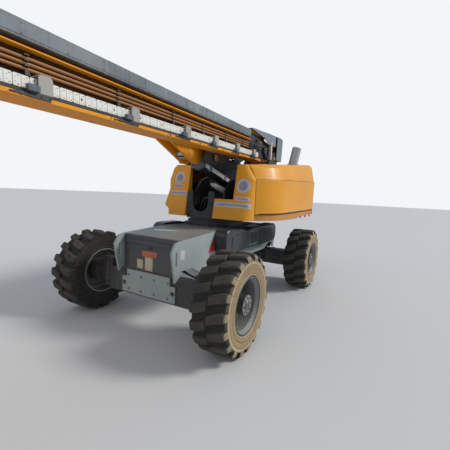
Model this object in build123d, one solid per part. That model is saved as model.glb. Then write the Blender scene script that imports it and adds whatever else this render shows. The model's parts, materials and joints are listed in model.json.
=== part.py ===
from build123d import *
from math import atan2, cos, degrees, hypot, radians, sin
import os

os.makedirs("parts", exist_ok=True)

# Telescopic boom lift, in millimetres. While it is modelled, x = 0 is the slewing axis, +X is
# towards the platform, +Y is the machine's left and z = 0 is the ground. save() moves every
# piece by X_SLEW, which puts the origin under the middle of the whole machine.

# Wheels and axles
WHEELBASE = 2700.0
OVERALL_WIDTH = 2490.0
TYRE_R = 518.0              # to the flat of a lug
TYRE_W = 385.0
LUG_HEIGHT = 42.0
LUG_HALF_WIDTH = 44.0
LUGS_A_SIDE = 18
SIDEWALL_R = 452.0
SHOULDER_W = 38.0
RIM_R = 289.0
RIM_WALL = 14.0
DISC_DEPTH = 215.0          # rim disc behind the tyre's outer face
HUB_R = 100.0
STUB_R = 40.0
DRUM_R = 150.0
RUNNING_GAP = 0.05          # radial, of a pin in its bore
BEAM_HALF_DEPTH = 100.0
BEAM_BOTTOM = 350.0
BEAM_TOP = 620.0
BEAM_HALF_LENGTH = 640.0
KINGPIN_INSET = 80.0        # from the tyre's inner face to the kingpin
KINGPIN_R = 25.0
YOKE_TOP = 730.0
YOKE_ARM = 58.0
YOKE_R = 58.0
STEER_ARM = 180.0
STEER_STROKE = 103.0

# Chassis
FRAME_HALF_WIDTH = 440.0
FRAME_WALL = 25.0
FRAME_TOP = 1120.0
FRAME_BOTTOM = 650.0
NOSE_REACH = 230.0          # side plate's nose ahead of the axle
NOSE_TOP = 1075.0
NOSE_BOTTOM = 620.0
FALL_LENGTH = 670.0         # the frame's top falls over this length up to the axle
SADDLE_Z = 734.0            # underside of the frame over the axle
COVER_REACH = 80.0
COVER_WALL = 20.0
SLOT_WIDTH = 30.0
POD_WIDTH = 180.0
POD_TOP = 1150.0
POD_BOTTOM = 820.0
POD_FRONT = 750.0
POD_REAR = -1100.0
POD_ROUNDING = 28.0
BUMPER_WALL = 16.0
BUMPER_HALF_WIDTH = 406.0
BUMPER_BOTTOM = 370.0
BUMPER_TOP = 650.0
TIE_DOWN_R = 20.0
TIE_DOWN_Y = 370.0
TIE_DOWN_Z = 480.0
RING_R = 430.0
RING_TOP = 1195.0

# Turntable
DECK_BOTTOM = 1256.0
DECK_WALL = 30.0
DECK_FRONT = 300.0
DECK_REAR = -1800.0
TAIL_X = -2050.0
COUNTERWEIGHT_TOP = 1900.0
CHEEK_REAR = -2000.0
CHEEK_BOTTOM = 1300.0
PANEL_FRONT = 470.0         # foot of the leaning front panels
PANEL_LEAN = 132.0
PANEL_TOP = 2006.0
PLATE_INNER = 240.0         # turret side plates
PLATE_WALL = 30.0
PLATE_REAR = -1770.0
SIDE_WALL = 25.0            # hood shell
HOOD_INNER = 535.0
HINGE_Y = 550.0
HINGE_Z = 1967.0
HINGE_R = 12.0
HINGE_EAR = 24.0            # radius of a hood's hinge sleeve
HOOD_FRONT = 294.0
HOOD_REAR = -1790.0
HOOD_ROOF = 2008.0          # at its front end
ROOF_RISE = 0.104           # per mm of length, to the rear
HOOD_CREASE = 1806.0
CREASE_RISE = 0.044
HOOD_FOOT = 1342.0
FOOT_RISE = 0.02
CREASE_GROOVE = 14.0
ROOF_INSET = 128.0          # roof's outer edge inside the crease
PANEL_PROUD = 8.0           # moulded panel on the hood's side
SKIRT_WALL = 20.0
SKIRT_STEP = -880.0         # the skirt is shallower behind this
EXHAUST_FOOT = (-1130.0, 830.0)
EXHAUST_R = 75.0
EXHAUST_LENGTH = 295.0
EXHAUST_LEAN = 12.0         # degrees, to the rear and outwards

# Boom, in its own frame: x along it from the pivot
PIVOT_X = -1750.0
PIVOT_Z = 2330.0
BOOM_SLOPE = 1.0            # degrees, nose down
PIVOT_R = 60.0
BASE_HALF_WIDTH = 230.0
BASE_BOTTOM = -47.0
BASE_TOP = 373.0
BASE_WALL = 12.0
BASE_REAR = -250.0
BASE_LENGTH = 8330.0
MID_GAP = 28.0
FLY_GAP = 26.0
SECTION_WALL = 10.0
MID_REAR = 200.0
FLY_REAR = 400.0
SECTION_STEP = 250.0
PAD_GAP = 0.3
COVER_HALF_WIDTH = 300.0
COVER_SHEET = 10.0
FLANGE_Y = 300.0
DUCT_BOTTOM = 235.0
DUCT_TOP = 346.0
TRAY_Y = 470.0
TRAY_BOTTOM = -152.0
TRAY_SHEET = 6.0
TRAY_LIP = 24.0
TRAY_JOINT = 75.0           # half of the lip's gap where two lengths of tray meet
CHAIN_HEIGHT = 72.0
CHAIN_WIDTH = 120.0
CHAIN_PITCH = 90.0
LINK_SHEET = 6.0
LINK_GAP = 8.0
GUIDE_HALF = 44.0
GUIDE_TOP = 0.0
SIDE_START = 1240.0         # chain, duct and pipes start here along the boom
PIPE_R = 12.0

# Lift cylinder
LIFT_FOOT = (-1050.0, 1600.0)
LIFT_EYE = (860.0, 2100.0)
LIFT_BARREL_R = 95.0
LIFT_ROD_R = 60.0
LIFT_PIN_R = 45.0
LIFT_EYE_R = 82.0
LIFT_EYE_HALF = 64.0
LUG_WALL = 30.0
EYE_SIDE_GAP = 4.0

# Jib: two parallel links between two upright brackets
FORK_LENGTH = 250.0
FORK_WALL = 20.0
BRACKET_HALF = 107.0        # outer faces of the upright brackets
BRACKET_WALL = 15.0
JIB_LENGTH = 2000.0
JIB_REST = -30.0
LINK_SPREAD = 190.0
JIB_PIN_R = 22.0
ARM_HALF_WIDTH = 60.0
ARM_HALF_HEIGHT = 45.0
ARM_SHEET = 8.0
LINK_HALF_HEIGHT = 30.0
LINK_INNER = 68.0
LINK_OUTER = 84.0
LINK_TIE_R = 14.0
LUG_SIDE_GAP = 3.0
LUG_SHEET = 14.0
JIB_FOOT_OFFSET = -75.0     # cylinder foot behind the lower link's pin
JIB_EYE = (700.0, -160.0)   # along the arm and below it
JIB_BARREL_R = 38.0
JIB_EYE_HALF = 36.0
JIB_ROD_R = 22.0
JIB_CYL_PIN_R = 20.0
JIB_RETRACT = 95.0          # rod's way in from the stowed pose
ROTATOR_R = 75.0
ROTATOR_REACH = 190.0

# Platform
PLATFORM_WIDTH = 2440.0
PLATFORM_DEPTH = 910.0
PLATFORM_DROP = 570.0       # floor below the arm's outer pin
PLATFORM_REACH = 200.0
FLOOR_WALL = 60.0
FLOOR_SHEET = 5.0
RAIL_HEIGHT = 1100.0
RAIL = 38.0
GATE_WIDTH = 690.0

X_AXLE = WHEELBASE / 2
Y_WHEEL = (OVERALL_WIDTH - TYRE_W) / 2
KINGPIN_Y = Y_WHEEL - TYRE_W / 2 - KINGPIN_INSET
NOSE_X = X_AXLE + NOSE_REACH
COVER_X = X_AXLE + COVER_REACH
DECK_FLAT = X_AXLE - FALL_LENGTH
FP_X = BASE_LENGTH + 2 * SECTION_STEP + FORK_LENGTH


def section(level):
    """Half width, bottom and top of a boom section: 0 base, 1 mid, 2 fly."""
    half, low, high = BASE_HALF_WIDTH, BASE_BOTTOM, BASE_TOP
    for wall, gap in [(BASE_WALL, MID_GAP), (SECTION_WALL, FLY_GAP)][:level]:
        half -= wall + gap
        low += wall + gap
        high -= wall + gap
    return half, low, high


def from_boom(x, z):
    """A point of the boom's frame in the machine's side view."""
    a = radians(BOOM_SLOPE)
    return PIVOT_X + x * cos(a) + z * sin(a), PIVOT_Z - x * sin(a) + z * cos(a)


def on_arm(x, z):
    """A point of the jib arm's frame in the machine's side view."""
    a = radians(JIB_REST)
    return JIB_U[0] + x * cos(a) - z * sin(a), JIB_U[1] + x * sin(a) + z * cos(a)


FLY_MIDDLE = (section(2)[1] + section(2)[2]) / 2
FORK = from_boom(FP_X, FLY_MIDDLE)
JIB_U = (FORK[0] + 150.0, FORK[1] + 40.0)
JIB_L = (JIB_U[0], JIB_U[1] - LINK_SPREAD)
JIB_FOOT = (JIB_U[0] + JIB_FOOT_OFFSET, JIB_L[1])
END_U = on_arm(JIB_LENGTH, 0)
END_L = (END_U[0], END_U[1] - LINK_SPREAD)
ROTATOR_X = END_U[0] + ROTATOR_REACH
PLATFORM_REAR = ROTATOR_X + PLATFORM_REACH
FLOOR_Z = END_U[1] - PLATFORM_DROP
COVER_TAIL = -340.0         # boom's rear cover behind the pivot
X_SLEW = -(PLATFORM_REAR + PLATFORM_DEPTH + PIVOT_X + COVER_TAIL) / 2
BOOM = Pos(PIVOT_X, 0, PIVOT_Z) * Rot(0, BOOM_SLOPE, 0)


def save(name, shape):
    export_step(Pos(X_SLEW, 0, 0) * shape, f"parts/{name}.step")


def block(x0, x1, y0, y1, z0, z1):
    return Pos((x0 + x1) / 2, (y0 + y1) / 2, (z0 + z1) / 2) * Box(x1 - x0, y1 - y0, z1 - z0)


def rod_y(radius, point, y0, y1):
    """Cylinder across the machine about a side-view point."""
    return Pos(point[0], (y0 + y1) / 2, point[1]) * Rot(90, 0, 0) * Cylinder(radius, y1 - y0)


def rod_z(radius, x, y, z0, z1):
    return Pos(x, y, (z0 + z1) / 2) * Cylinder(radius, z1 - z0)


def bar(radius, start, end):
    """Cylinder between two points in space."""
    line = Vector(*end) - Vector(*start)
    return Plane(origin=start, z_dir=line) * Pos(0, 0, line.length / 2) * Cylinder(radius, line.length)


def side_plate(points, y0, y1, radii=None):
    """Side-view outline of (x, z) points, extruded across from y0 to y1."""
    corners = [(x, y0, z) for x, z in points]
    if radii:
        outline = FilletPolyline(*corners, radius=radii, close=True)
    else:
        outline = Polyline(*corners, close=True)
    return extrude(make_face(outline), amount=y1 - y0, dir=(0, 1, 0))


def plan_plate(points, z0, z1):
    """Plan outline of (x, y) points, extruded upwards from z0 to z1."""
    outline = Polyline(*[(x, y, z0) for x, y in points], close=True)
    return extrude(make_face(outline), amount=z1 - z0, dir=(0, 0, 1))


def both_sides(shape):
    return [shape, mirror(shape, about=Plane.XZ)]


def fuse(shapes):
    whole = shapes[0]
    for shape in shapes[1:]:
        whole = whole + shape
    return whole


# Wheels, modelled with the axle along +Z and the outer face up

def ring_prism(apothem, z0, z1, turn, end_apothem=None):
    """Prism or taper with one flat for each lug of a row."""
    low = Pos(0, 0, z0) * RegularPolygon(apothem, LUGS_A_SIDE, major_radius=False, rotation=turn)
    if end_apothem is None:
        return extrude(low, amount=z1 - z0)
    high = Pos(0, 0, z1) * RegularPolygon(end_apothem, LUGS_A_SIDE, major_radius=False, rotation=turn)
    return loft([low, high], ruled=True)


def tyre_half(turn):
    """Outer half of a tyre with its row of lugs, from the middle plane up."""
    half = TYRE_W / 2
    flat = half - SHOULDER_W
    drum = TYRE_R - LUG_HEIGHT
    lug_edge = SIDEWALL_R + LUG_HEIGHT / 2
    body = ring_prism(drum, 0, flat, turn) + ring_prism(drum, flat, half, turn, SIDEWALL_R)
    envelope = ring_prism(TYRE_R, 0, flat, turn) + ring_prism(TYRE_R, flat, half, turn, lug_edge)
    inner, outer = 0.04 * half, half + 1
    start, end = 0.45 * LUG_HALF_WIDTH, -0.85 * LUG_HALF_WIDTH
    outline = [(start - LUG_HALF_WIDTH, inner), (start + LUG_HALF_WIDTH, inner),
               (end + LUG_HALF_WIDTH, outer), (end - LUG_HALF_WIDTH, outer)]
    face = make_face(Polyline(*[(SIDEWALL_R - 8, s, w) for s, w in outline], close=True))
    lug = extrude(face, amount=TYRE_R - SIDEWALL_R + 20, dir=(1, 0, 0))
    pitch = 360.0 / LUGS_A_SIDE
    first = turn + pitch / 2
    return body + [envelope & Rot(0, 0, first + i * pitch) * lug for i in range(LUGS_A_SIDE)]


def tyre():
    half_pitch = 180.0 / LUGS_A_SIDE
    outer = tyre_half(-90.0)
    inner = mirror(tyre_half(-90.0 + half_pitch), about=Plane.XY)
    bore = extrude(RegularPolygon(RIM_R, LUGS_A_SIDE, major_radius=False, rotation=-90.0), amount=TYRE_W, both=True)
    return outer + inner - bore


def rim():
    half = TYRE_W / 2
    lip = half - 14.0
    disc = half - DISC_DEPTH
    profile = [(STUB_R + RUNNING_GAP, disc - 18), (RIM_R - RIM_WALL, disc - 18), (RIM_R - RIM_WALL, -lip),
               (RIM_R, -lip), (RIM_R, lip), (RIM_R - 10, lip), (RIM_R - RIM_WALL - 22, lip - 40),
               (RIM_R - RIM_WALL - 34, disc + 22), (HUB_R + 40, disc), (HUB_R, disc + 14),
               (HUB_R, lip - 12), (0, lip - 12), (0, lip - 60), (STUB_R + RUNNING_GAP, lip - 60)]
    return revolve(make_face(Polyline(*[(r, 0, z) for r, z in profile], close=True)), Axis.Z)


TYRE = Rot(-90, 0, 0) * tyre()
RIM = Rot(-90, 0, 0) * rim()
for end, sign in (("front", 1), ("rear", -1)):
    for name, shape in (("tyre", TYRE), ("rim", RIM)):
        placed = Pos(sign * X_AXLE, Y_WHEEL, TYRE_R) * shape
        save(f"{name}_{end}_left", placed)
        save(f"{name}_{end}_right", mirror(placed, about=Plane.XZ))

# Axles, knuckles and steering

STUB_END = Y_WHEEL + TYRE_W / 2 - 14.0 - 60.0 - 5.0
DRUM_END = Y_WHEEL + TYRE_W / 2 - DISC_DEPTH - 18.0 - 6.0
YOKE_BOTTOM = BEAM_BOTTOM
ARM_Z = TYRE_R + 20.0


def hub_carrier(x, y):
    """Drum and stub that the wheel turns on, from y outwards."""
    return rod_y(DRUM_R, (x, TYRE_R), y, DRUM_END) + rod_y(STUB_R, (x, TYRE_R), DRUM_END - 1, STUB_END)


def knuckle():
    x, y = X_AXLE, KINGPIN_Y
    low, high = YOKE_BOTTOM + YOKE_ARM + 2, YOKE_TOP - YOKE_ARM - 2
    body = rod_z(YOKE_R - 4, x, y, low, high)
    body += rod_z(KINGPIN_R, x, y, YOKE_BOTTOM, YOKE_TOP)
    body += block(x - 50, x + 50, y, y + YOKE_R + 7, low, high) + hub_carrier(x, y + YOKE_R + 6)
    tip = x - STEER_ARM
    body += block(tip, x - 20, y - 25, y + 25, ARM_Z, ARM_Z + 30)
    return body + rod_z(32, tip, y, ARM_Z, ARM_Z + 30)


def front_axle():
    x = X_AXLE
    web_in, web_out = BEAM_HALF_LENGTH, BEAM_HALF_LENGTH + 50
    beam = block(x - BEAM_HALF_DEPTH, x + BEAM_HALF_DEPTH, -web_in, web_in, BEAM_BOTTOM, BEAM_TOP)
    beam += block(x - 60, x + 60, -90, 90, BEAM_TOP, SADDLE_Z)
    for side in (1, -1):
        inner, outer = sorted((side * web_in, side * web_out))
        beam += block(x - 70, x + 70, inner, outer, YOKE_BOTTOM, YOKE_TOP)
        for z0 in (YOKE_BOTTOM, YOKE_TOP - YOKE_ARM):
            near, far = sorted((side * web_out, side * KINGPIN_Y))
            arm = block(x - YOKE_R, x + YOKE_R, near, far, z0, z0 + YOKE_ARM)
            arm += rod_z(YOKE_R, x, side * KINGPIN_Y, z0, z0 + YOKE_ARM)
            beam += arm
        beam -= rod_z(KINGPIN_R + RUNNING_GAP, x, side * KINGPIN_Y, YOKE_BOTTOM - 1, YOKE_TOP + 1)
    return beam


def rear_axle():
    x = -X_AXLE
    beam = block(x - BEAM_HALF_DEPTH, x + BEAM_HALF_DEPTH, -KINGPIN_Y, KINGPIN_Y, BEAM_BOTTOM, BEAM_TOP)
    beam += block(x - 60, x + 60, -90, 90, BEAM_TOP, SADDLE_Z)
    for side in both_sides(hub_carrier(x, KINGPIN_Y - 10)):
        beam += side
    return beam


left_knuckle = knuckle()
save("knuckle_left", left_knuckle)
save("knuckle_right", mirror(left_knuckle, about=Plane.XZ))
save("front_axle", front_axle())
save("rear_axle", rear_axle())

ROD_X = X_AXLE - STEER_ARM
ROD_Z = TYRE_R - 10
ROD_R = 20.0
BARREL_HALF = 380.0
barrel = rod_y(45, (ROD_X, ROD_Z), -BARREL_HALF, BARREL_HALF)
for side in (1, -1):
    y = side * (BARREL_HALF - 60)
    barrel += block(ROD_X, X_AXLE - BEAM_HALF_DEPTH, y - 15, y + 15, ROD_Z - 40, ROD_Z + 40)
barrel -= rod_y(ROD_R + RUNNING_GAP, (ROD_X, ROD_Z), -BARREL_HALF - 1, BARREL_HALF + 1)
save("steering_cylinder", barrel)
rod = rod_y(ROD_R, (ROD_X, ROD_Z), -KINGPIN_Y, KINGPIN_Y)
for side in (1, -1):
    rod += rod_z(30, ROD_X, side * KINGPIN_Y, ROD_Z - 24, ARM_Z - PAD_GAP)
save("steering_rod", rod)

# Chassis frame: two outlined side plates closed by a top, a belly and end walls

NOSE_OUTLINE = [(NOSE_X - 70, NOSE_BOTTOM), (NOSE_X, NOSE_TOP - 120), (NOSE_X - 60, NOSE_TOP - 20),
                (NOSE_X - 170, NOSE_TOP), (DECK_FLAT, FRAME_TOP)]
BELLY_OUTLINE = [(X_AXLE - 310, FRAME_BOTTOM), (X_AXLE - 140, SADDLE_Z), (X_AXLE + 64, SADDLE_Z), (X_AXLE + 70, 687)]


def frame_outline():
    front = BELLY_OUTLINE + NOSE_OUTLINE
    return front + [(-x, z) for x, z in front[::-1]]


def box_outline(end_x, low, high, flat_x, top):
    half = [(end_x, low), (end_x, high), (flat_x, top)]
    return half + [(-x, z) for x, z in half[::-1]]


def chassis_frame():
    outline = frame_outline()
    side = side_plate(outline, FRAME_HALF_WIDTH - FRAME_WALL, FRAME_HALF_WIDTH)
    slot_x, slot_low, slot_high = NOSE_X - 80, 800.0, 956.0
    for end in (1, -1):
        slot = Pos(end * slot_x, FRAME_HALF_WIDTH - FRAME_WALL / 2, (slot_low + slot_high) / 2) \
            * Rot(90, 0, 0) * extrude(SlotOverall(slot_high - slot_low, SLOT_WIDTH, rotation=90), FRAME_WALL, both=True)
        side -= slot
    inner, end_x = FRAME_HALF_WIDTH - FRAME_WALL, COVER_X - COVER_WALL - 15
    box = box_outline(end_x, SADDLE_Z, NOSE_TOP - 5, DECK_FLAT, FRAME_TOP)
    hollow = box_outline(end_x - 20, SADDLE_Z + 20, NOSE_TOP - 23, DECK_FLAT - 8, FRAME_TOP - 20)
    return side_plate(box, -inner, inner) - side_plate(hollow, -inner, inner) + both_sides(side)


save("chassis_frame", chassis_frame())

COVER_HALF = FRAME_HALF_WIDTH - FRAME_WALL
cover = block(COVER_X - COVER_WALL, COVER_X, -COVER_HALF, COVER_HALF, BEAM_TOP + 12, NOSE_TOP - 8)
cover += block(COVER_X - 2, COVER_X + 14, -COVER_HALF, COVER_HALF, NOSE_TOP - 105, NOSE_TOP - 60)
save("end_covers", Compound([cover, mirror(cover, about=Plane.YZ)]))


def bumper():
    face = X_AXLE + BEAM_HALF_DEPTH
    plate = block(face, face + BUMPER_WALL, -BUMPER_HALF_WIDTH, BUMPER_HALF_WIDTH, BUMPER_BOTTOM, BUMPER_TOP)
    for side in (1, -1):
        y = side * (BUMPER_HALF_WIDTH - 38)
        plate -= block(face - 1, face + BUMPER_WALL + 1, y - 39, y + 39, BUMPER_TOP - 90, BUMPER_TOP + 1)
        plate -= Pos(face, side * TIE_DOWN_Y, TIE_DOWN_Z) * Rot(0, 90, 0) * Cylinder(TIE_DOWN_R, 4 * BUMPER_WALL)
    return plate + block(face - 15, face + 1, -BUMPER_HALF_WIDTH + 78, BUMPER_HALF_WIDTH - 78, BUMPER_TOP - 16, BUMPER_TOP)


front_bumper = bumper()
save("bumpers", Compound([front_bumper, mirror(front_bumper, about=Plane.YZ)]))


def side_pod():
    y0, y1 = FRAME_HALF_WIDTH, FRAME_HALF_WIDTH + POD_WIDTH
    notch_x = (POD_FRONT + POD_REAR) / 2 + 320
    points = [(POD_FRONT, POD_BOTTOM), (POD_FRONT, POD_TOP), (notch_x + 160, POD_TOP), (notch_x, POD_TOP - 45),
              (notch_x - 220, POD_TOP - 20), (POD_REAR, POD_TOP - 20), (POD_REAR, POD_BOTTOM)]
    radii = [130, 110, 0, 0, 0, 110, 130]
    pod = side_plate(points, y0, y1, radii)
    return fillet(pod.edges().group_by(Axis.Y)[-1], POD_ROUNDING)


save("side_pods", Compound(both_sides(side_pod())))

ring = Pos(0, 0, (FRAME_TOP + RING_TOP) / 2) * (Cylinder(RING_R, RING_TOP - FRAME_TOP)
                                                - Cylinder(RING_R - 90, RING_TOP - FRAME_TOP + 2))
save("slew_ring", ring)

# Turntable. Plan of each hood's side as two arcs, x and y of: front end, on the corner's arc, joint,
# on the side's arc, rear end
LEFT_PLAN = [(HOOD_FRONT, 789), (45, 960), (-250, 1032), (-1020, 1066), (HOOD_REAR, 1078)]
RIGHT_PLAN = [(HOOD_FRONT, 668), (80, 848), (-450, 1052), (-1100, 1071), (HOOD_REAR, 1078)]


def roof_z(x):
    return HOOD_ROOF + ROOF_RISE * (HOOD_FRONT - x)


def crease_z(x):
    return HOOD_CREASE + CREASE_RISE * (HOOD_FRONT - x)


def hood_foot(x):
    return HOOD_FOOT + FOOT_RISE * (HOOD_FRONT - x)


def side_arcs(plan, by, height):
    """The two arcs of a hood's side, moved in, at a height that may change along the machine."""
    a, b, c, d, e = [(x, y - by, height(x)) for x, y in plan]
    return [ThreePointArc(a, b, c), ThreePointArc(c, d, e)]


def closed_face(edges, *corners):
    """Face of a run of edges, closed from its end through the corners back to its start."""
    points = [edges[-1] @ 1, *corners, edges[0] @ 0]
    return make_face(edges + [Line(a, b) for a, b in zip(points, points[1:])])


DECK_INSET = 38.0


def deck():
    def level(x):
        return DECK_BOTTOM
    halves = []
    for plan in (LEFT_PLAN, RIGHT_PLAN):
        arcs = side_arcs(plan, DECK_INSET, level)
        rear, front = arcs[-1] @ 1, arcs[0] @ 0
        corners = [(DECK_REAR, rear.Y), (DECK_REAR, 0), (DECK_FRONT, 0), (DECK_FRONT, front.Y - 20)]
        halves.append(closed_face(arcs, *[(x, y, DECK_BOTTOM) for x, y in corners]))
    left, right = [extrude(half, amount=DECK_WALL, dir=(0, 0, 1)) for half in halves]
    return left + mirror(right, about=Plane.XZ) + rod_z(RING_R - 30, 0, 0, RING_TOP + PAD_GAP, DECK_BOTTOM)


save("turntable_deck", deck())


def skirt(plan):
    """Upright strip on the deck's edge below the hood, shallower towards the rear."""
    def level(x):
        return DECK_BOTTOM
    outer = side_arcs(plan, DECK_INSET - SKIRT_WALL, level)
    inner = side_arcs(plan, DECK_INSET, level)
    strip = make_face(outer + inner + [Line(outer[0] @ 0, inner[0] @ 0), Line(outer[1] @ 1, inner[1] @ 1)])
    front, rear = HOOD_FRONT + 1, HOOD_REAR - 1
    over = [(front, hood_foot(front) - 8), (rear, hood_foot(rear) - 8), (rear, HOOD_CREASE), (front, HOOD_CREASE)]
    step = [(SKIRT_STEP, DECK_BOTTOM - 1), (SKIRT_STEP - 12, DECK_BOTTOM + 24), (rear, DECK_BOTTOM + 56),
            (rear, DECK_BOTTOM - 1)]
    return extrude(strip, amount=200, dir=(0, 0, 1)) - side_plate(over, 500, 1200) - side_plate(step, 500, 1200)


save("skirts", Compound([skirt(LEFT_PLAN), mirror(skirt(RIGHT_PLAN), about=Plane.XZ)]))


def lean(z):
    return PANEL_FRONT - PANEL_LEAN * (z - DECK_BOTTOM) / (PANEL_TOP - DECK_BOTTOM)


def wedge(inner, rows):
    """Leaning panel ahead of a hood's front end, its corner round in plan. Rows: z, outer y, length of the round."""
    faces = []
    for z, outer, length in rows:
        front = lean(z)
        start, end = (front, outer - length), (DECK_FRONT, outer)
        bulge = (front - 0.25 * (front - DECK_FRONT), outer - 0.42 * length)
        edges = [Line((DECK_FRONT, inner), (front, inner)), Line((front, inner), start), ThreePointArc(start, bulge, end),
                 Line(end, (DECK_FRONT, inner))]
        faces.append(Pos(0, 0, z) * make_face(edges))
    return loft(faces, ruled=True)


LEFT_CORNER, RIGHT_CORNER = LEFT_PLAN[0][1] - PANEL_PROUD, RIGHT_PLAN[0][1] - PANEL_PROUD
left_panel = wedge(515, [(DECK_BOTTOM, LEFT_CORNER, 150), (HOOD_CREASE, LEFT_CORNER, 110),
                         (PANEL_TOP, LEFT_CORNER - ROOF_INSET, 60)])
low_panel = loft([make_face(Polyline(*[(x, y, z) for x, y in [(lean(z) - 30, 222), (lean(z), 222), (lean(z), 516),
                                                            (lean(z) - 30, 516)]], close=True))
                  for z in (DECK_BOTTOM, 1530)], ruled=True)
right_panel = wedge(252, [(DECK_BOTTOM, 592, 40), (1344, 606, 40), (1400, 694, 50), (PANEL_TOP, 540, 40)])
save("front_panels", Compound([left_panel + low_panel, mirror(right_panel, about=Plane.XZ)]))


def front_guard():
    x1 = lean(1500)
    plate = block(x1 - 20, x1, -248, 218, 1236, 1630)
    plate -= block(x1 - 21, x1 + 1, -150, 120, 1330, 1631)
    for y in (-248, 206):
        plate += block(DECK_FRONT, x1 - 1, y, y + 12, DECK_BOTTOM + 2, 1600)
    return plate


save("front_guard", front_guard())


def turret():
    top = 1990.0
    points = [(270, DECK_BOTTOM + DECK_WALL), (210, 1620), (60, 1800), (-500, top), (-1380, 2140),
              (PIVOT_X + 130, PIVOT_Z + 130), (PIVOT_X - 130, PIVOT_Z + 130), (PIVOT_X - 130, PIVOT_Z - 100),
              (PLATE_REAR, 2030), (PLATE_REAR, DECK_BOTTOM + DECK_WALL)]
    radii = [0, 60, 120, 0, 200, 129, 129, 60, 60, 0]
    plate = side_plate(points, PLATE_INNER, PLATE_INNER + PLATE_WALL, radii)
    plate -= rod_y(PIVOT_R + RUNNING_GAP, (PIVOT_X, PIVOT_Z), PLATE_INNER - 1, PLATE_INNER + PLATE_WALL + 1)
    plate -= rod_y(LIFT_PIN_R + RUNNING_GAP, LIFT_FOOT, PLATE_INNER - 1, PLATE_INNER + PLATE_WALL + 1)
    floor_z = DECK_BOTTOM + DECK_WALL
    base = block(-1320, 270, -PLATE_INNER, PLATE_INNER, floor_z, floor_z + 30)
    tie = rod_y(60, (-350, 1500), -PLATE_INNER - 1, PLATE_INNER + 1)
    return base + both_sides(plate) + tie


save("turret", turret())


# Levels of a hood's side, from the foot up: height at x, set-back from the plan, part of the wall's
# thickness that the inside lies lower
HOOD_LEVELS = [(hood_foot, 0.0, 0.0), (crease_z, 0.0, 0.0), (lambda x: crease_z(x) + 12, CREASE_GROOVE, 0.0),
               (lambda x: roof_z(x) - 50, 0.55 * ROOF_INSET, 0.8), (roof_z, ROOF_INSET, 1.0)]


def cheek_section(x, y):
    """Outline across a cheek of the counterweight, in line with the hood ahead of it."""
    points = [(y - by, height(x)) for height, by, _ in HOOD_LEVELS]
    points += [(HOOD_INNER, roof_z(x)), (HOOD_INNER, hood_foot(x))]
    return make_face(Polyline(*[(x, py, pz) for py, pz in points], close=True))


def counterweight():
    half = LEFT_PLAN[-1][1] - 8
    corner = TAIL_X + 110
    edge = [Line((DECK_REAR, -half), (DECK_REAR, half)), Line((DECK_REAR, half), (corner, half - 60)),
            ThreePointArc((corner, half - 60), (TAIL_X, 0), (corner, 60 - half)),
            Line((corner, 60 - half), (DECK_REAR, -half))]
    tail = Pos(0, 0, CHEEK_BOTTOM) * extrude(make_face(edge), COUNTERWEIGHT_TOP - CHEEK_BOTTOM)
    rows = ((DECK_REAR, 0), (corner, 40), (CHEEK_REAR, 90))
    cheek = loft([cheek_section(x, half - drop) for x, drop in rows], ruled=True)
    inner = block(DECK_REAR - 1, -1340, -PLATE_INNER + 6, PLATE_INNER - 6, DECK_BOTTOM + DECK_WALL, 1750)
    return tail + both_sides(cheek & block(CHEEK_REAR, DECK_REAR, 0, 1200, COUNTERWEIGHT_TOP - 300, 2400)) + inner


save("counterweight", counterweight())

save("engine_block", block(-1550, -350, 530, 940, DECK_BOTTOM + DECK_WALL, 1860))
tank_rows = [(-1600, -860), (-760, -220)]     # fuel tank, oil tank: rear x, front x
save("tanks", Compound([block(x0, x1, -950, -530, DECK_BOTTOM + DECK_WALL, 1780) for x0, x1 in tank_rows]))


def hood_body(plan, wall):
    """Loft of the levels, or with a wall the hollow inside it, open below and towards the boom."""
    layers = []
    inner = HOOD_INNER - 60 if wall else HOOD_INNER
    for i, (height, by, drop) in enumerate(HOOD_LEVELS):
        low = drop * wall + (60 if wall and i == 0 else 0)
        arcs = side_arcs(plan, by + wall, lambda x: height(x) - low)
        rear, front = arcs[-1] @ 1, arcs[0] @ 0
        layers.append(closed_face(arcs, (rear.X, inner, rear.Z), (front.X, inner, front.Z)))
    body = loft(layers, ruled=True)
    if wall:
        body &= block(HOOD_REAR + wall, HOOD_FRONT - wall, 0, 1200, 0, 3000)
    return body


def hood(plan):
    """Shell of side, roof and two ends, hinged under the roof's inner edge."""
    shell = hood_body(plan, 0) - hood_body(plan, SIDE_WALL)
    for x in (HOOD_FRONT - 200, (HOOD_FRONT + HOOD_REAR) / 2, HOOD_REAR + 200):
        ear = block(x - 50, x + 50, HINGE_Y - 8, HINGE_Y + 8, HINGE_Z, roof_z(x) - SIDE_WALL + 8)
        shell += hinge_bar(HINGE_EAR, x - 60, x + 60) + ear
    return shell - hinge_bar(HINGE_R + RUNNING_GAP, HOOD_REAR, HOOD_FRONT)


def hinge_bar(radius, x0, x1):
    return bar(radius, (x0, HINGE_Y, HINGE_Z), (x1, HINGE_Y, HINGE_Z))


def hood_rail():
    front, rear = HOOD_FRONT - SIDE_WALL - 12, HOOD_REAR + SIDE_WALL + 12
    rail = hinge_bar(HINGE_R, rear, front)
    for x in (front - 40, -470.0, rear + 40):
        rail += block(x - 20, x + 20, HINGE_Y - 70, HINGE_Y - 30, DECK_BOTTOM + DECK_WALL, HINGE_Z - 24)
        rail += block(x - 20, x + 20, HINGE_Y - 70, HINGE_Y + 8, HINGE_Z - 50, HINGE_Z - 24)
        rail += block(x - 20, x + 20, HINGE_Y - 8, HINGE_Y + 8, HINGE_Z - 30, HINGE_Z)
    return rail


save("hood_left", hood(LEFT_PLAN))
save("hood_right", mirror(hood(RIGHT_PLAN), about=Plane.XZ))
save("hood_rails", Compound(both_sides(hood_rail())))


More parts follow.
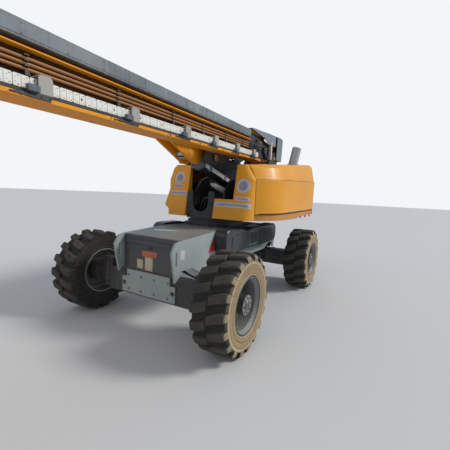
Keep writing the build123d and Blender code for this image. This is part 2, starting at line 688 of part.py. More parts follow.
def exhaust():
    x, y = EXHAUST_FOOT
    foot = roof_z(x)
    reach = sin(radians(EXHAUST_LEAN)) * EXHAUST_LENGTH / 2 ** 0.5
    rise = cos(radians(EXHAUST_LEAN)) * EXHAUST_LENGTH

    def point(part):
        return (x - part * reach, y + part * reach, foot + part * rise)
    roof_turn = Rot(0, degrees(atan2(ROOF_RISE, 1)), 0)
    stack = bar(EXHAUST_R, point(-0.2), point(1)) - bar(EXHAUST_R - 7, point(0.2), point(1.1))
    stack += Pos(x, y, foot + 6) * roof_turn * Cylinder(EXHAUST_R + 30, 12)
    return stack - Pos(x, y, foot) * roof_turn * Pos(0, 0, -150) * Box(500, 500, 300)


save("exhaust_stack", exhaust())

# Telescopic boom

def tube(level, x0, x1, wall):
    half, low, high = section(level)
    return block(x0, x1, -half, half, low, high) - block(x0 - 1, x1 + 1, -half + wall, half - wall, low + wall, high - wall)


def pads(level, x, outer):
    """Slide pads round a section's outside at x, filling the gap to the section that holds it."""
    half, low, high = section(level)
    gap = MID_GAP if level == 1 else FLY_GAP
    inside, outside = (0, gap - PAD_GAP) if outer else (PAD_GAP, gap)
    across = half - 60
    rows = [(-across, across, high + inside, high + outside), (-across, across, low - outside, low - inside),
            (half + inside, half + outside, low + 40, high - 40), (-half - outside, -half - inside, low + 40, high - 40)]
    return [block(x - 60, x + 60, y0, y1, z0, z1) for y0, y1, z0, z1 in rows]


LIFT_LUG = [(1400, 2300), (1350, 2228), (1000, 2068), (800, 1976), (700, 1968), (640, 1996), (568, 2085), (545, 2300)]


def boom_base():
    body = BOOM * tube(0, BASE_REAR, BASE_LENGTH, BASE_WALL)
    body += [BOOM * piece for piece in pads(1, BASE_LENGTH - 80, False)]
    body += rod_y(PIVOT_R, (PIVOT_X, PIVOT_Z), -PLATE_INNER - PLATE_WALL - 4, PLATE_INNER + PLATE_WALL + 4)
    body += BOOM * rod_y(PIVOT_R + 30, (0, 0), -BASE_HALF_WIDTH, BASE_HALF_WIDTH)
    lug_in = LIFT_EYE_HALF + EYE_SIDE_GAP
    lug = side_plate(LIFT_LUG, lug_in, lug_in + LUG_WALL) & BOOM * block(0, 9000, -400, 400, -1000, BASE_BOTTOM + 6)
    body += both_sides(lug)
    flange = block(SIDE_START, BASE_LENGTH, BASE_HALF_WIDTH, FLANGE_Y, DUCT_BOTTOM - 47, DUCT_BOTTOM - 37)
    return body + BOOM * flange


save("boom_base", boom_base())
save("boom_mid", BOOM * fuse([tube(1, MID_REAR, BASE_LENGTH + SECTION_STEP, SECTION_WALL)]
                             + pads(1, MID_REAR + 80, True) + pads(2, BASE_LENGTH + SECTION_STEP - 80, False)))


def boom_fly():
    half, low, high = section(2)
    end = BASE_LENGTH + 2 * SECTION_STEP
    body = fuse([tube(2, FLY_REAR, end, SECTION_WALL)] + pads(2, FLY_REAR + 80, True))
    inner = BRACKET_HALF + 6
    middle = (low + high) / 2
    for side in (1, -1):
        y0, y1 = sorted((side * inner, side * (inner + FORK_WALL)))
        fork = side_plate([(end - 160, low + SECTION_WALL), (end + 40, low + SECTION_WALL), (FP_X, middle - 70),
                           (FP_X, middle + 70), (end + 40, high - SECTION_WALL), (end - 160, high - SECTION_WALL)], y0, y1)
        fork += rod_y(70, (FP_X, middle), y0, y1)
        body += fork
        body += block(end - 160, end - 1, min(y0, side * half * 0.98), max(y1, side * half * 0.98), middle - 60, middle + 60)
    return BOOM * body - rod_y(30 + RUNNING_GAP, FORK, -half, half)


save("boom_fly", boom_fly())
duct = block(SIDE_START, BASE_LENGTH, BASE_HALF_WIDTH, FLANGE_Y, DUCT_BOTTOM, DUCT_TOP)
duct -= block(SIDE_START - 1, BASE_LENGTH + 1, BASE_HALF_WIDTH + 5, FLANGE_Y - 5, DUCT_BOTTOM + 5, DUCT_TOP - 5)
save("boom_duct", BOOM * duct)

# Outline along the boom and below it of the two plates hung under it behind the lift cylinder's lug
UNDERPLATE = [(1500.0, BASE_BOTTOM), (1855.0, -238.0), (2176.0, -307.0), (2456.0, -302.0), (2420.0, BASE_BOTTOM)]
UNDERPLATE_Y = 200.0
UNDERPLATE_WALL = 12.0
UNDERPLATE_BOSS = (2176.0, -207.0)
UNDERPLATE_TIE = (1560.0, 1640.0)


def underplates():
    """Two plates tied by a strip on the boom's underside, each with a round boss."""
    cradle = block(*UNDERPLATE_TIE, -UNDERPLATE_Y, UNDERPLATE_Y, BASE_BOTTOM - UNDERPLATE_WALL, BASE_BOTTOM)
    plate = side_plate(UNDERPLATE, UNDERPLATE_Y - UNDERPLATE_WALL, UNDERPLATE_Y)
    plate += rod_y(36, UNDERPLATE_BOSS, UNDERPLATE_Y - 1, UNDERPLATE_Y + 10)
    return BOOM * (cradle + both_sides(plate))


save("boom_underplates", underplates())

TRAY_START = SIDE_START - 40
TRAY_END = BASE_LENGTH - 200
TRAY_INNER = BASE_HALF_WIDTH + 40
TRAY_RIB = 52.0             # height of the ribs that the chain lies on
tray_joints = [1860, 2410, 2930, 3440, 4090, 4740, 5390, 6040, 6690, 7340]
stations = [1450, 2010, 2590, 3160, 3880, 4600, 5320, 6040, 6760, 7480]     # pipe clamps, chain guides


def chain_tray():
    tray = block(TRAY_START, TRAY_END, TRAY_INNER, TRAY_Y, TRAY_BOTTOM, TRAY_BOTTOM + TRAY_SHEET)
    tray += block(TRAY_START, TRAY_END, TRAY_Y - TRAY_SHEET, TRAY_Y, TRAY_BOTTOM, TRAY_BOTTOM + TRAY_LIP)
    for x in tray_joints:
        for x0, x1 in ((x - TRAY_JOINT, x - 0.4 * TRAY_JOINT), (x + 0.4 * TRAY_JOINT, x + TRAY_JOINT)):
            tray -= block(x0, x1, TRAY_Y - TRAY_SHEET - 1, TRAY_Y + 1, TRAY_BOTTOM + TRAY_SHEET, TRAY_BOTTOM + TRAY_LIP + 1)
        tray += block(x - 30, x + 30, BASE_HALF_WIDTH, TRAY_Y - 12, TRAY_BOTTOM + 1, TRAY_BOTTOM + TRAY_RIB)
        tray += block(x - 30, x + 30, BASE_HALF_WIDTH, BASE_HALF_WIDTH + 30, TRAY_BOTTOM + 1, 0)
    return tray


save("chain_tray", BOOM * chain_tray())

CHAIN_LOW = TRAY_BOTTOM + TRAY_RIB + PAD_GAP
CHAIN_Y = TRAY_Y - 20        # outer face of the chain


def cable_chain():
    """Run of the chain, with a groove between one link's side plate and the next."""
    start = TRAY_START + 60
    links = int((TRAY_END - 60 - start) / CHAIN_PITCH)
    end = start + links * CHAIN_PITCH
    outline = [(end, CHAIN_Y - CHAIN_WIDTH), (start, CHAIN_Y - CHAIN_WIDTH), (start, CHAIN_Y)]
    for i in range(1, links):
        x = start + i * CHAIN_PITCH
        outline += [(x - LINK_GAP / 2, CHAIN_Y), (x, CHAIN_Y - LINK_SHEET), (x + LINK_GAP / 2, CHAIN_Y)]
    return plan_plate(outline + [(end, CHAIN_Y)], CHAIN_LOW, CHAIN_LOW + CHAIN_HEIGHT)


save("cable_chain", BOOM * cable_chain())


def chain_guide(x):
    """Plate with clipped corners outside the chain, on the tray's lip, and its roller block."""
    low, high = TRAY_BOTTOM + 6, GUIDE_TOP
    corners = [(x - GUIDE_HALF, low), (x - GUIDE_HALF, high - 24), (x - GUIDE_HALF + 16, high), (x + GUIDE_HALF - 16, high),
               (x + GUIDE_HALF, high - 24), (x + GUIDE_HALF, low)]
    guide = side_plate(corners, TRAY_Y, TRAY_Y + 6)
    guide += block(x - GUIDE_HALF, x + GUIDE_HALF, CHAIN_Y - CHAIN_WIDTH, TRAY_Y + 1, high - 12, high - 6)
    return guide + block(x + GUIDE_HALF - 1, x + GUIDE_HALF + 70, TRAY_Y, TRAY_Y + 30, low + 30, low + 84)


save("chain_guides", Compound([BOOM * chain_guide(x) for x in stations]))

pipe_rows = [76.0, 109.0, 142.0]     # heights of the three pipes on the boom's side
PIPE_Y = BASE_HALF_WIDTH + 10 + PIPE_R
save("boom_pipes", Compound([BOOM * bar(PIPE_R, (SIDE_START, PIPE_Y, z), (BASE_LENGTH - 60, PIPE_Y, z)) for z in pipe_rows]))


def pipe_clamp(x):
    """Comb with a slot for each pipe."""
    clamp = block(x - 15, x + 15, BASE_HALF_WIDTH, PIPE_Y + PIPE_R + 14, pipe_rows[0] - 44, pipe_rows[-1] + 20)
    for z in pipe_rows:
        clamp -= block(x - 16, x + 16, PIPE_Y - PIPE_R, PIPE_Y + PIPE_R + 15, z - PIPE_R, z + PIPE_R)
    return clamp


save("pipe_clamps", Compound([BOOM * pipe_clamp(x) for x in stations]))


def rear_cover():
    """Sheet over the boom's tail with a flange and a rear strip on each side. Points: x, z from the pivot."""
    top = [(1190, 368), (807, 392), (420, 420), (0, 440), (-150, 452), (COVER_TAIL + 40, 448), (COVER_TAIL, 412)]
    inner = [(x, z - COVER_SHEET) for x, z in top[:-1]] + [(COVER_TAIL + COVER_SHEET, 404)]
    tail = [(COVER_TAIL + 30, -10), (COVER_TAIL + 30 + COVER_SHEET, -10)]
    flange = top[:3] + [(75, 436), (81, 237), (514, 222), (640, 300), (1190, 344)]
    strip = [(-20, 436)] + top[4:] + [tail[0], (-10, -10)]

    def sheet(points, y0, y1):
        return side_plate([(PIVOT_X + x, PIVOT_Z + z) for x, z in points], y0, y1)
    roof = sheet(top + tail + inner[::-1], -COVER_HALF_WIDTH, COVER_HALF_WIDTH)
    sides = sheet(flange, COVER_HALF_WIDTH - COVER_SHEET, COVER_HALF_WIDTH)
    sides += sheet(strip, COVER_HALF_WIDTH - COVER_SHEET, COVER_HALF_WIDTH)
    stay = block(PIVOT_X + 270, PIVOT_X + 305, BASE_HALF_WIDTH, COVER_HALF_WIDTH - 1, PIVOT_Z - 40, PIVOT_Z + 425)
    lip = block(PIVOT_X + 700, PIVOT_X + 740, BASE_HALF_WIDTH, COVER_HALF_WIDTH - 1, PIVOT_Z + 318, PIVOT_Z + 385)
    return roof + both_sides(sides) + both_sides(stay) + both_sides(lip)


save("boom_rear_cover", rear_cover())


# Cylinders: a barrel pinned at its foot and a rod whose eye meets its lug

def along(start, end, distance):
    length = hypot(end[0] - start[0], end[1] - start[1])
    return (start[0] + (end[0] - start[0]) * distance / length, start[1] + (end[1] - start[1]) * distance / length)


def at(point, y=0.0):
    return (point[0], y, point[1])


def cylinder_pair(foot, eye, barrel_r, rod_r, foot_r, foot_half, pin_r, pin_half, eye_r, eye_half, head,
                  retract=0.0):
    """Barrel with a pinned foot, and rod with an eye. head is the free length between barrel and eye."""
    length = hypot(eye[0] - foot[0], eye[1] - foot[1])
    mouth = length - head
    outer = bar(barrel_r, at(along(foot, eye, foot_r * 0.6)), at(along(foot, eye, mouth)))
    outer += rod_y(foot_r, foot, -foot_half, foot_half) + rod_y(pin_r, foot, -pin_half, pin_half)
    bore = foot_r + 20
    outer -= bar(rod_r + RUNNING_GAP, at(along(foot, eye, bore)), at(along(foot, eye, mouth + 1)))
    inner = bar(rod_r, at(along(foot, eye, bore + retract + 7)), at(along(foot, eye, length - eye_r * 0.5)))
    return outer, inner + rod_y(eye_r, eye, -eye_half, eye_half)


lift_barrel, lift_rod = cylinder_pair(LIFT_FOOT, LIFT_EYE, LIFT_BARREL_R, LIFT_ROD_R, 90, 100, LIFT_PIN_R,
                                      PLATE_INNER + PLATE_WALL, LIFT_EYE_R, LIFT_EYE_HALF, 300)
save("lift_barrel", lift_barrel)
save("lift_rod", lift_rod)

jib_eye = on_arm(*JIB_EYE)
jib_barrel, jib_rod = cylinder_pair(JIB_FOOT, jib_eye, JIB_BARREL_R, JIB_ROD_R, 34, 38, JIB_CYL_PIN_R, BRACKET_HALF,
                                    30, JIB_EYE_HALF, 240, JIB_RETRACT)
save("jib_barrel", jib_barrel)
save("jib_rod", jib_rod)


# Jib

def outlined(points, radius, y0, y1):
    """Plate of rounded ends round a row of pins."""
    plate = None
    for a, b in zip(points, points[1:]):
        length = hypot(b[0] - a[0], b[1] - a[1])
        turn = -degrees(atan2(b[1] - a[1], b[0] - a[0]))
        strap = Pos((a[0] + b[0]) / 2, (y0 + y1) / 2, (a[1] + b[1]) / 2) * Rot(0, turn, 0) * Box(length, y1 - y0, 2 * radius)
        strap += rod_y(radius, a, y0, y1) + rod_y(radius, b, y0, y1)
        plate = strap if plate is None else plate + strap
    return plate


def pin_bores(points, radius):
    return [rod_y(radius + RUNNING_GAP, p, -BRACKET_HALF - 1, BRACKET_HALF + 1) for p in points]


def jib_foot():
    inner = BRACKET_HALF - BRACKET_WALL
    cheek = outlined([FORK, JIB_U, JIB_L, JIB_FOOT, FORK], 42, inner, BRACKET_HALF)
    body = fuse(both_sides(cheek)) + rod_y(60, FORK, -BRACKET_HALF, BRACKET_HALF)
    for bore in pin_bores([JIB_U, JIB_L], JIB_PIN_R) + pin_bores([JIB_FOOT], JIB_CYL_PIN_R):
        body -= bore
    return body + rod_y(30, FORK, -BRACKET_HALF - 6 - FORK_WALL, BRACKET_HALF + 6 + FORK_WALL)


save("jib_foot", jib_foot())


def jib_arm():
    arm = outlined([JIB_U, END_U], ARM_HALF_HEIGHT, -ARM_HALF_WIDTH, ARM_HALF_WIDTH)
    ends = [along(JIB_U, END_U, d) for d in (130, JIB_LENGTH - 130)]
    arm -= outlined(ends, ARM_HALF_HEIGHT - ARM_SHEET, ARM_SHEET - ARM_HALF_WIDTH, ARM_HALF_WIDTH - ARM_SHEET)
    for pin in (JIB_U, END_U):
        arm += rod_y(JIB_PIN_R, pin, -BRACKET_HALF, BRACKET_HALF)
    lug_in = JIB_EYE_HALF + LUG_SIDE_GAP
    lug = outlined([on_arm(JIB_EYE[0], -20), jib_eye], 45, lug_in, lug_in + LUG_SHEET)
    return arm + both_sides(lug)


save("jib_arm", jib_arm())


def jib_link():
    link = outlined([JIB_L, END_L], LINK_HALF_HEIGHT, LINK_INNER, LINK_OUTER)
    for pin in (JIB_L, END_L):
        link += rod_y(JIB_PIN_R, pin, LINK_OUTER - 1, BRACKET_HALF)
    tie = along(JIB_L, END_L, JIB_LENGTH - 260)
    return fuse(both_sides(link)) + rod_y(LINK_TIE_R, tie, -LINK_OUTER, LINK_OUTER)


save("jib_link", jib_link())


def platform_support():
    inner = BRACKET_HALF - BRACKET_WALL
    cheek = outlined([END_U, END_L], 46, inner, BRACKET_HALF)
    cheek += block(END_U[0] + 10, ROTATOR_X, inner, BRACKET_HALF, END_L[1] - 46, END_U[1] + 46)
    body = fuse(both_sides(cheek))
    body += block(ROTATOR_X - 90, ROTATOR_X - 60, -BRACKET_HALF, BRACKET_HALF, END_L[1] - 46, END_U[1] + 46)
    body += rod_z(ROTATOR_R, ROTATOR_X, 0, END_L[1] - 60, END_U[1] + 60)
    for bore in pin_bores([END_U, END_L], JIB_PIN_R):
        body -= bore
    return body - rod_z(35 + RUNNING_GAP, ROTATOR_X, 0, END_L[1] - 61, END_U[1] + 61)


save("platform_support", platform_support())

# Platform

FLOOR_TOP = FLOOR_Z + FLOOR_WALL
RAIL_TOP = FLOOR_TOP + RAIL_HEIGHT
X0, X1 = PLATFORM_REAR, PLATFORM_REAR + PLATFORM_DEPTH
HALF = PLATFORM_WIDTH / 2


def platform_floor():
    floor = block(X0, X1, -HALF, HALF, FLOOR_Z, FLOOR_TOP)
    bays = 4
    pitch = (PLATFORM_WIDTH - FLOOR_SHEET) / bays
    for i in range(bays):
        y = -HALF + FLOOR_SHEET + i * pitch
        floor -= block(X0 + FLOOR_SHEET, X1 - FLOOR_SHEET, y, y + pitch - FLOOR_SHEET, FLOOR_Z - 1, FLOOR_TOP - FLOOR_SHEET)
    low, high = END_L[1] - 62, END_U[1] + 62
    column_x = X0 - 30
    bracket = block(column_x - 40, column_x, -70, 70, FLOOR_Z, high + 20)
    for z0 in (low - 20, high):
        bracket += block(ROTATOR_X, column_x, -60, 60, z0, z0 + 20) + rod_z(60, ROTATOR_X, 0, z0, z0 + 20)
    bracket += rod_z(35, ROTATOR_X, 0, low - 20, high + 20)
    foot = block(column_x - 40, X0 + 200, -70, 70, FLOOR_Z - 40, FLOOR_Z)
    return floor + bracket + foot


save("platform_floor", platform_floor())

GATE_X0 = X0 + RAIL + 24
GATE_X1 = GATE_X0 + GATE_WIDTH


def platform_rails():
    r = RAIL
    rails = None
    post_ys = [-HALF, -HALF / 2, 0 - r / 2, HALF / 2 - r, HALF - r]
    posts = [(x, y) for x in (X0, X1 - r) for y in post_ys] + [(X0 + PLATFORM_DEPTH / 2, -HALF), (GATE_X1 + 12, HALF - r)]
    for x, y in posts:
        post = block(x, x + r, y, y + r, FLOOR_TOP, RAIL_TOP)
        rails = post if rails is None else rails + post
    for z in (RAIL_TOP - r, FLOOR_TOP + RAIL_HEIGHT * 0.5):
        rails += block(X0, X0 + r, -HALF, HALF, z, z + r) + block(X1 - r, X1, -HALF, HALF, z, z + r)
        rails += block(X0, X1, -HALF, -HALF + r, z, z + r) + block(GATE_X1 + 12, X1, HALF - r, HALF, z, z + r)
    kick = FLOOR_TOP + 150
    rails += block(X0, X0 + 6, -HALF, HALF, FLOOR_TOP, kick) + block(X1 - 6, X1, -HALF, HALF, FLOOR_TOP, kick)
    rails += block(X0, X1, -HALF, -HALF + 6, FLOOR_TOP, kick)
    for z in (FLOOR_TOP + 90, RAIL_TOP - 60):
        rails += block(X0, GATE_X0 + 14, HALF - r, HALF - 1, z - 10, z)
        rails -= rod_z(8 + RUNNING_GAP, GATE_X0, HALF - r / 2, z - 11, z + 1)
    return rails


save("platform_rails", platform_rails())


def platform_gate():
    r, y = 14.0, HALF - RAIL / 2
    low, high = FLOOR_TOP + 91, RAIL_TOP - 71
    gate = rod_z(12, GATE_X0, y, low, high) + rod_z(8, GATE_X0, y, low - 10, high + 10)
    for z in (low + 40, (low + high) / 2, high - 40):
        gate += block(GATE_X0, GATE_X1, y - r, y + r, z - r, z + r)
    return gate + block(GATE_X1 - 2 * r, GATE_X1, y - r, y + r, low + 26, high - 26)


save("platform_gate", platform_gate())

console = side_plate([(X1 - 260, RAIL_TOP - 230), (X1 - RAIL, RAIL_TOP - 230), (X1 - RAIL, RAIL_TOP), (X1 - RAIL, RAIL_TOP + 110),
                      (X1 - 90, RAIL_TOP + 130), (X1 - 260, RAIL_TOP + 10)], -280, 280)
save("platform_console", console)
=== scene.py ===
import json
import random
from math import cos, pi, radians, sin

import bmesh
import bpy
from mathutils import Matrix, Vector
from mathutils.bvhtree import BVHTree


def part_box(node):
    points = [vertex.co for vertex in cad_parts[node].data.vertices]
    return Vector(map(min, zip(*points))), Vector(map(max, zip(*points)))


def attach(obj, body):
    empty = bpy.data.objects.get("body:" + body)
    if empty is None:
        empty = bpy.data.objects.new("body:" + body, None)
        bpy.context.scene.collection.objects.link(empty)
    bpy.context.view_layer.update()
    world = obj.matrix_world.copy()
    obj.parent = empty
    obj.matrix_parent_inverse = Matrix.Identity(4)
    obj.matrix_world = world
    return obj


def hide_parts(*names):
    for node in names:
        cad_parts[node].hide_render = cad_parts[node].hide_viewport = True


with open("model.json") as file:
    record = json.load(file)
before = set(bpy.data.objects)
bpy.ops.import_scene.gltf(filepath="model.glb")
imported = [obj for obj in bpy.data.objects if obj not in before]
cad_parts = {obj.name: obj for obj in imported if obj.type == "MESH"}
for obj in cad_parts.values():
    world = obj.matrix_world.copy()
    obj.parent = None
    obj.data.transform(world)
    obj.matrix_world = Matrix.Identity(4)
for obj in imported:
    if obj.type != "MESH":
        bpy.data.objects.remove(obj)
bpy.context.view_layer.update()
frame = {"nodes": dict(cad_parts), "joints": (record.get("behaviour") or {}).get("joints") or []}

NODES = frame["nodes"]
JOINTS = {joint["name"]: joint for joint in frame["joints"]}


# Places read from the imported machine. Machine measures count from the slewing axis at SLEW_X.

def joint_at(name):
    """Where a joint is, in metres."""
    return Vector(JOINTS[name]["pos_m"])


def middle(node):
    """The middle of a node's box."""
    low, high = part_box(node)
    return (low + high) / 2


SLEW_X = joint_at("slew").x
PIVOT = joint_at("boom_lift")
ALONG_BOOM = Vector(JOINTS["boom_extend"]["axis"])
ABOVE_BOOM = Vector((-ALONG_BOOM.z, 0, ALONG_BOOM.x))
CORNERS = [("front", "left"), ("front", "right"), ("rear", "left"), ("rear", "right")]
WHEELS = {f"{end}_{side}": middle(f"tyre_{end}_{side}") for end, side in CORNERS}

AXLE_X = abs(WHEELS["front_left"].x - SLEW_X)
TRACK_Y = abs(WHEELS["front_left"].y)
TYRE_R = WHEELS["front_left"].z
TYRE_HALF = (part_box("tyre_front_left")[1].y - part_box("tyre_front_left")[0].y) / 2
LUGS = 18
# Both count outward from a wheel's middle plane.
RIM_LIP = TYRE_HALF - 0.014
DISC_FACE = TYRE_HALF - 0.215


def spot(x, y, z):
    """A point of the machine, in metres from the slewing axis, its middle plane and the ground."""
    return Vector((SLEW_X + x, y, z))


def on_boom(x, y, z):
    """A point of the boom, in metres along it from its pivot, to the left and above the pivot's line."""
    return PIVOT + ALONG_BOOM * x + Vector((0, y, 0)) + ABOVE_BOOM * z


def tint(red, green, blue):
    """A colour given as it shows on a screen, 0 to 255."""
    shown = [value / 255 for value in (red, green, blue)]
    return tuple(c / 12.92 if c <= 10 / 255 else ((c + 0.055) / 1.055) ** 2.4 for c in shown) + (1.0,)


def scaled(colour, share):
    """The same colour, darker with a share below 1 and lighter with one above it."""
    return tuple(min(1.0, c * share) for c in colour[:3]) + (1.0,)


# Shader maths

class Field:
    """A value that changes over a surface. Used in an expression, it adds its Math node."""

    def __init__(self, finish, socket):
        self.finish, self.socket = finish, socket

    def maths(self, operation, *values):
        return self.finish.node("ShaderNodeMath", {"operation": operation}, dict(enumerate(values)))

    def __add__(self, other):
        return self.maths("ADD", self, other)

    def __sub__(self, other):
        return self.maths("SUBTRACT", self, other)

    def __rsub__(self, other):
        return self.maths("SUBTRACT", other, self)

    def __mul__(self, other):
        return self.maths("MULTIPLY", self, other)

    def __pow__(self, other):
        return self.maths("POWER", self, other)

    def __abs__(self):
        return self.maths("ABSOLUTE", self)

    def __mod__(self, other):
        return self.maths("FLOORED_MODULO", self, other)

    def __gt__(self, other):
        return self.maths("GREATER_THAN", self, other)

    __radd__ = __add__
    __rmul__ = __mul__


class Finish:
    """A material under construction. node() makes any node; the other methods are the ones used often."""

    def __init__(self, name):
        self.material = bpy.data.materials.new(name)
        self.material.use_nodes = True
        self.tree = self.material.node_tree
        self.tree.nodes.clear()
        self.place = self.node("ShaderNodeTexCoord", output="Object")
        self.facing = self.node("ShaderNodeTexCoord", output="Normal")

    def node(self, kind, settings=None, values=None, output=0):
        made = self.tree.nodes.new(kind)
        for name, value in (settings or {}).items():
            if name == "stops":
                ramp = made.color_ramp
                while len(ramp.elements) < len(value):
                    ramp.elements.new(1.0)
                for element, (position, colour) in zip(ramp.elements, value):
                    element.position, element.color = position, colour
            else:
                setattr(made, name, value)
        for name, value in (values or {}).items():
            if isinstance(value, Field):
                self.tree.links.new(value.socket, made.inputs[name])
            else:
                made.inputs[name].default_value = value
        return Field(self, made.outputs[output]) if made.outputs else None

    def axis(self, letter, vector=None):
        """One coordinate of the place, or of another vector."""
        return self.node("ShaderNodeSeparateXYZ", None, {0: vector or self.place}, letter)

    def noise(self, scale, detail=4.0, rough=0.55, place=None):
        values = {"Vector": place or self.place, "Scale": scale, "Detail": detail, "Roughness": rough}
        return self.node("ShaderNodeTexNoise", None, values)

    def stretched(self, x, y, z):
        return self.node("ShaderNodeMapping", None, {"Vector": self.place, "Scale": (x, y, z)})

    def between(self, value, low, high, first=0.0, last=1.0):
        """Smooth step of value, from first at low to last at high."""
        values = {"Value": value, "From Min": low, "From Max": high, "To Min": first, "To Max": last}
        return self.node("ShaderNodeMapRange", {"interpolation_type": "SMOOTHSTEP"}, values)

    def limited(self, value, most=1.0):
        """The value, no less than 0 and no more than most."""
        return self.node("ShaderNodeClamp", None, {0: value, 1: 0.0, 2: most})

    def mix(self, share, first, second):
        """From the first colour at a share of 0 to the second at 1."""
        return self.node("ShaderNodeMix", {"data_type": "RGBA"}, {0: share, 6: first, 7: second}, 2)

    def rounded(self, radius):
        """A normal that rounds the edges, and a field that is 1 on them."""
        soft = self.node("ShaderNodeBevel", {"samples": 4}, {"Radius": radius})
        flat = self.node("ShaderNodeNewGeometry", output="Normal")
        agree = self.node("ShaderNodeVectorMath", {"operation": "DOT_PRODUCT"}, {0: soft, 1: flat}, "Value")
        return soft, self.between(agree, 0.995, 0.93)

    def bump(self, height, distance, strength=1.0, normal=None):
        """A normal bent by a height, on top of another normal where one is given."""
        values = {"Height": height, "Distance": distance, "Strength": strength}
        if normal is not None:
            values["Normal"] = normal
        return self.node("ShaderNodeBump", None, values)

    def surface(self, colour, rough, metal=0.0, normal=None, **plain):
        """Closes the material. plain holds the surface's other sockets, by name with _ for spaces."""
        values = {"Base Color": colour, "Roughness": rough, "Metallic": metal}
        values.update({name.replace("_", " "): value for name, value in plain.items()})
        if normal is not None:
            values["Normal"] = normal
        shaded = self.node("ShaderNodeBsdfPrincipled", None, values)
        self.node("ShaderNodeOutputMaterial", None, {"Surface": shaded})
        return self.material


DUST = tint(186, 170, 142)
RUST = tint(104, 66, 40)


def paint(name, colour, rough=0.38, dust=0.35, fade=0.12, low=0.3, high=1.6, coat=0.0, edge=0.004,
          chip=None, peel=0.0004, streaks=(16.0, 16.0, 0.9), stain=None, shine=0.5):
    """Sprayed paint: a bit uneven, dusty on top and low down, streaked by rain, worn to chip on its edges."""
    f = Finish(name)
    soft, edges = f.rounded(edge)
    cloud = f.noise(1.1, 5.0)
    grain = f.noise(42.0, 5.0, 0.7)
    streak = f.noise(1.0, 4.0, 0.6, f.stretched(*streaks))
    up = f.between(f.axis("Z", f.facing), 0.55, 0.98)
    down = f.between(f.axis("Z"), low, high, 1.0, 0.0)
    film = (up * 0.75 + down * 0.55 + 0.12) * f.between(cloud * 0.55 + grain * 0.45, 0.36, 0.66) * dust
    film = film + f.between(streak, 0.52, 0.75) * (1.0 - up) * dust * 0.45
    film = f.limited(film, 0.92)
    tone = f.mix(f.between(cloud, 0.3, 0.7), scaled(colour, 1 - fade), scaled(colour, 1 + fade))
    # stain mixes in a second colour: weathering on the duct, painted shade on the boom, a painted reflection
    # on the frame.
    if stain:
        share, dark = stain(f)
        tone = f.mix(share, tone, dark)
    worn = edges * f.between(grain, 0.52, 0.62)
    tone = f.mix(worn, tone, chip or scaled(colour, 0.45))
    tone = f.mix(film, tone, DUST)
    normal = f.bump(f.noise(520.0, 2.0), peel, 0.35, soft)
    gloss = {"Coat_Weight": coat, "Coat_Roughness": 0.12, "Specular_IOR_Level": shine}
    return f.surface(tone, rough + film * 0.45 + grain * 0.06, 0.0, normal, **gloss)


def metal(name, colour, rough=0.3, dirt=0.3, grain=(6.0, 400.0, 400.0), edge=0.002, metallic=1.0):
    """Bare or plated metal with a drawn grain and some dirt."""
    f = Finish(name)
    soft = f.rounded(edge)[0]
    lines = f.noise(1.0, 3.0, 0.5, f.stretched(*grain))
    spots = f.noise(9.0, 6.0, 0.65)
    film = f.between(spots, 0.5, 0.72) * dirt
    tone = f.mix(lines * 0.35, colour, scaled(colour, 0.6))
    tone = f.mix(film, tone, DUST)
    rough = rough + lines * 0.12 + film * 0.5
    return f.surface(tone, rough, metallic - film * 0.8, f.bump(lines, 0.0003, 0.3, soft))


def moulded(name, colour, rough=0.5, dust=0.3, grain=900.0, edge=0.003):
    """Moulded plastic or rubber, with a fine leather grain and dust."""
    f = Finish(name)
    soft, edges = f.rounded(edge)
    cloud = f.noise(2.2, 5.0, 0.6)
    fine = f.noise(60.0, 5.0, 0.7)
    up = f.between(f.axis("Z", f.facing), 0.4, 0.98)
    film = (up * 0.7 + 0.3) * f.between(cloud * 0.5 + fine * 0.5, 0.4, 0.66) * dust
    tone = f.mix(film + edges * 0.12, colour, DUST)
    return f.surface(tone, rough + film * 0.3, 0.0, f.bump(f.noise(grain, 2.0), 0.0004, 0.5, soft))


def painted_shade_behind_pipes(f):
    """Painted shade on the boom's left side, from its flange down into the tray under the chain."""
    left = f.axis("Y")
    height = (f.axis("X") - PIVOT.x) * ABOVE_BOOM.x + (f.axis("Z") - PIVOT.z) * ABOVE_BOOM.z
    past_web = f.between(left, 0.2285, 0.2295)
    wall = past_web * f.between(left, 0.242, 0.238)
    shelf = past_web * f.between(left, 0.462, 0.452) * f.between(height, -0.148, -0.1465)
    rough = f.noise(3.0, 5.0, 0.7, f.stretched(0.7, 1.0, 5.0))
    behind = wall * f.between(height, 0.262, 0.250) + shelf * f.between(height, 0.0, -0.02)
    return f.limited(behind * (0.80 + rough * 0.3)), tint(48, 30, 15)


def weathered_sheet(f):
    """Dark run marks and blotches of a sheet that has stood outdoors for years."""
    runs = f.noise(1.0, 5.0, 0.7, f.stretched(34.0, 4.0, 2.2))
    blots = f.noise(2.4, 6.0, 0.7)
    return f.between(runs * 0.6 + blots * 0.4, 0.50, 0.60) * 0.55, tint(58, 62, 66)


def painted_top_reflection(f):
    """Darker, bluer paint on the faces that point up: a painted reflection."""
    return f.between(f.axis("Z", f.facing), 0.8, 0.97) * 0.75, tint(84, 92, 98)
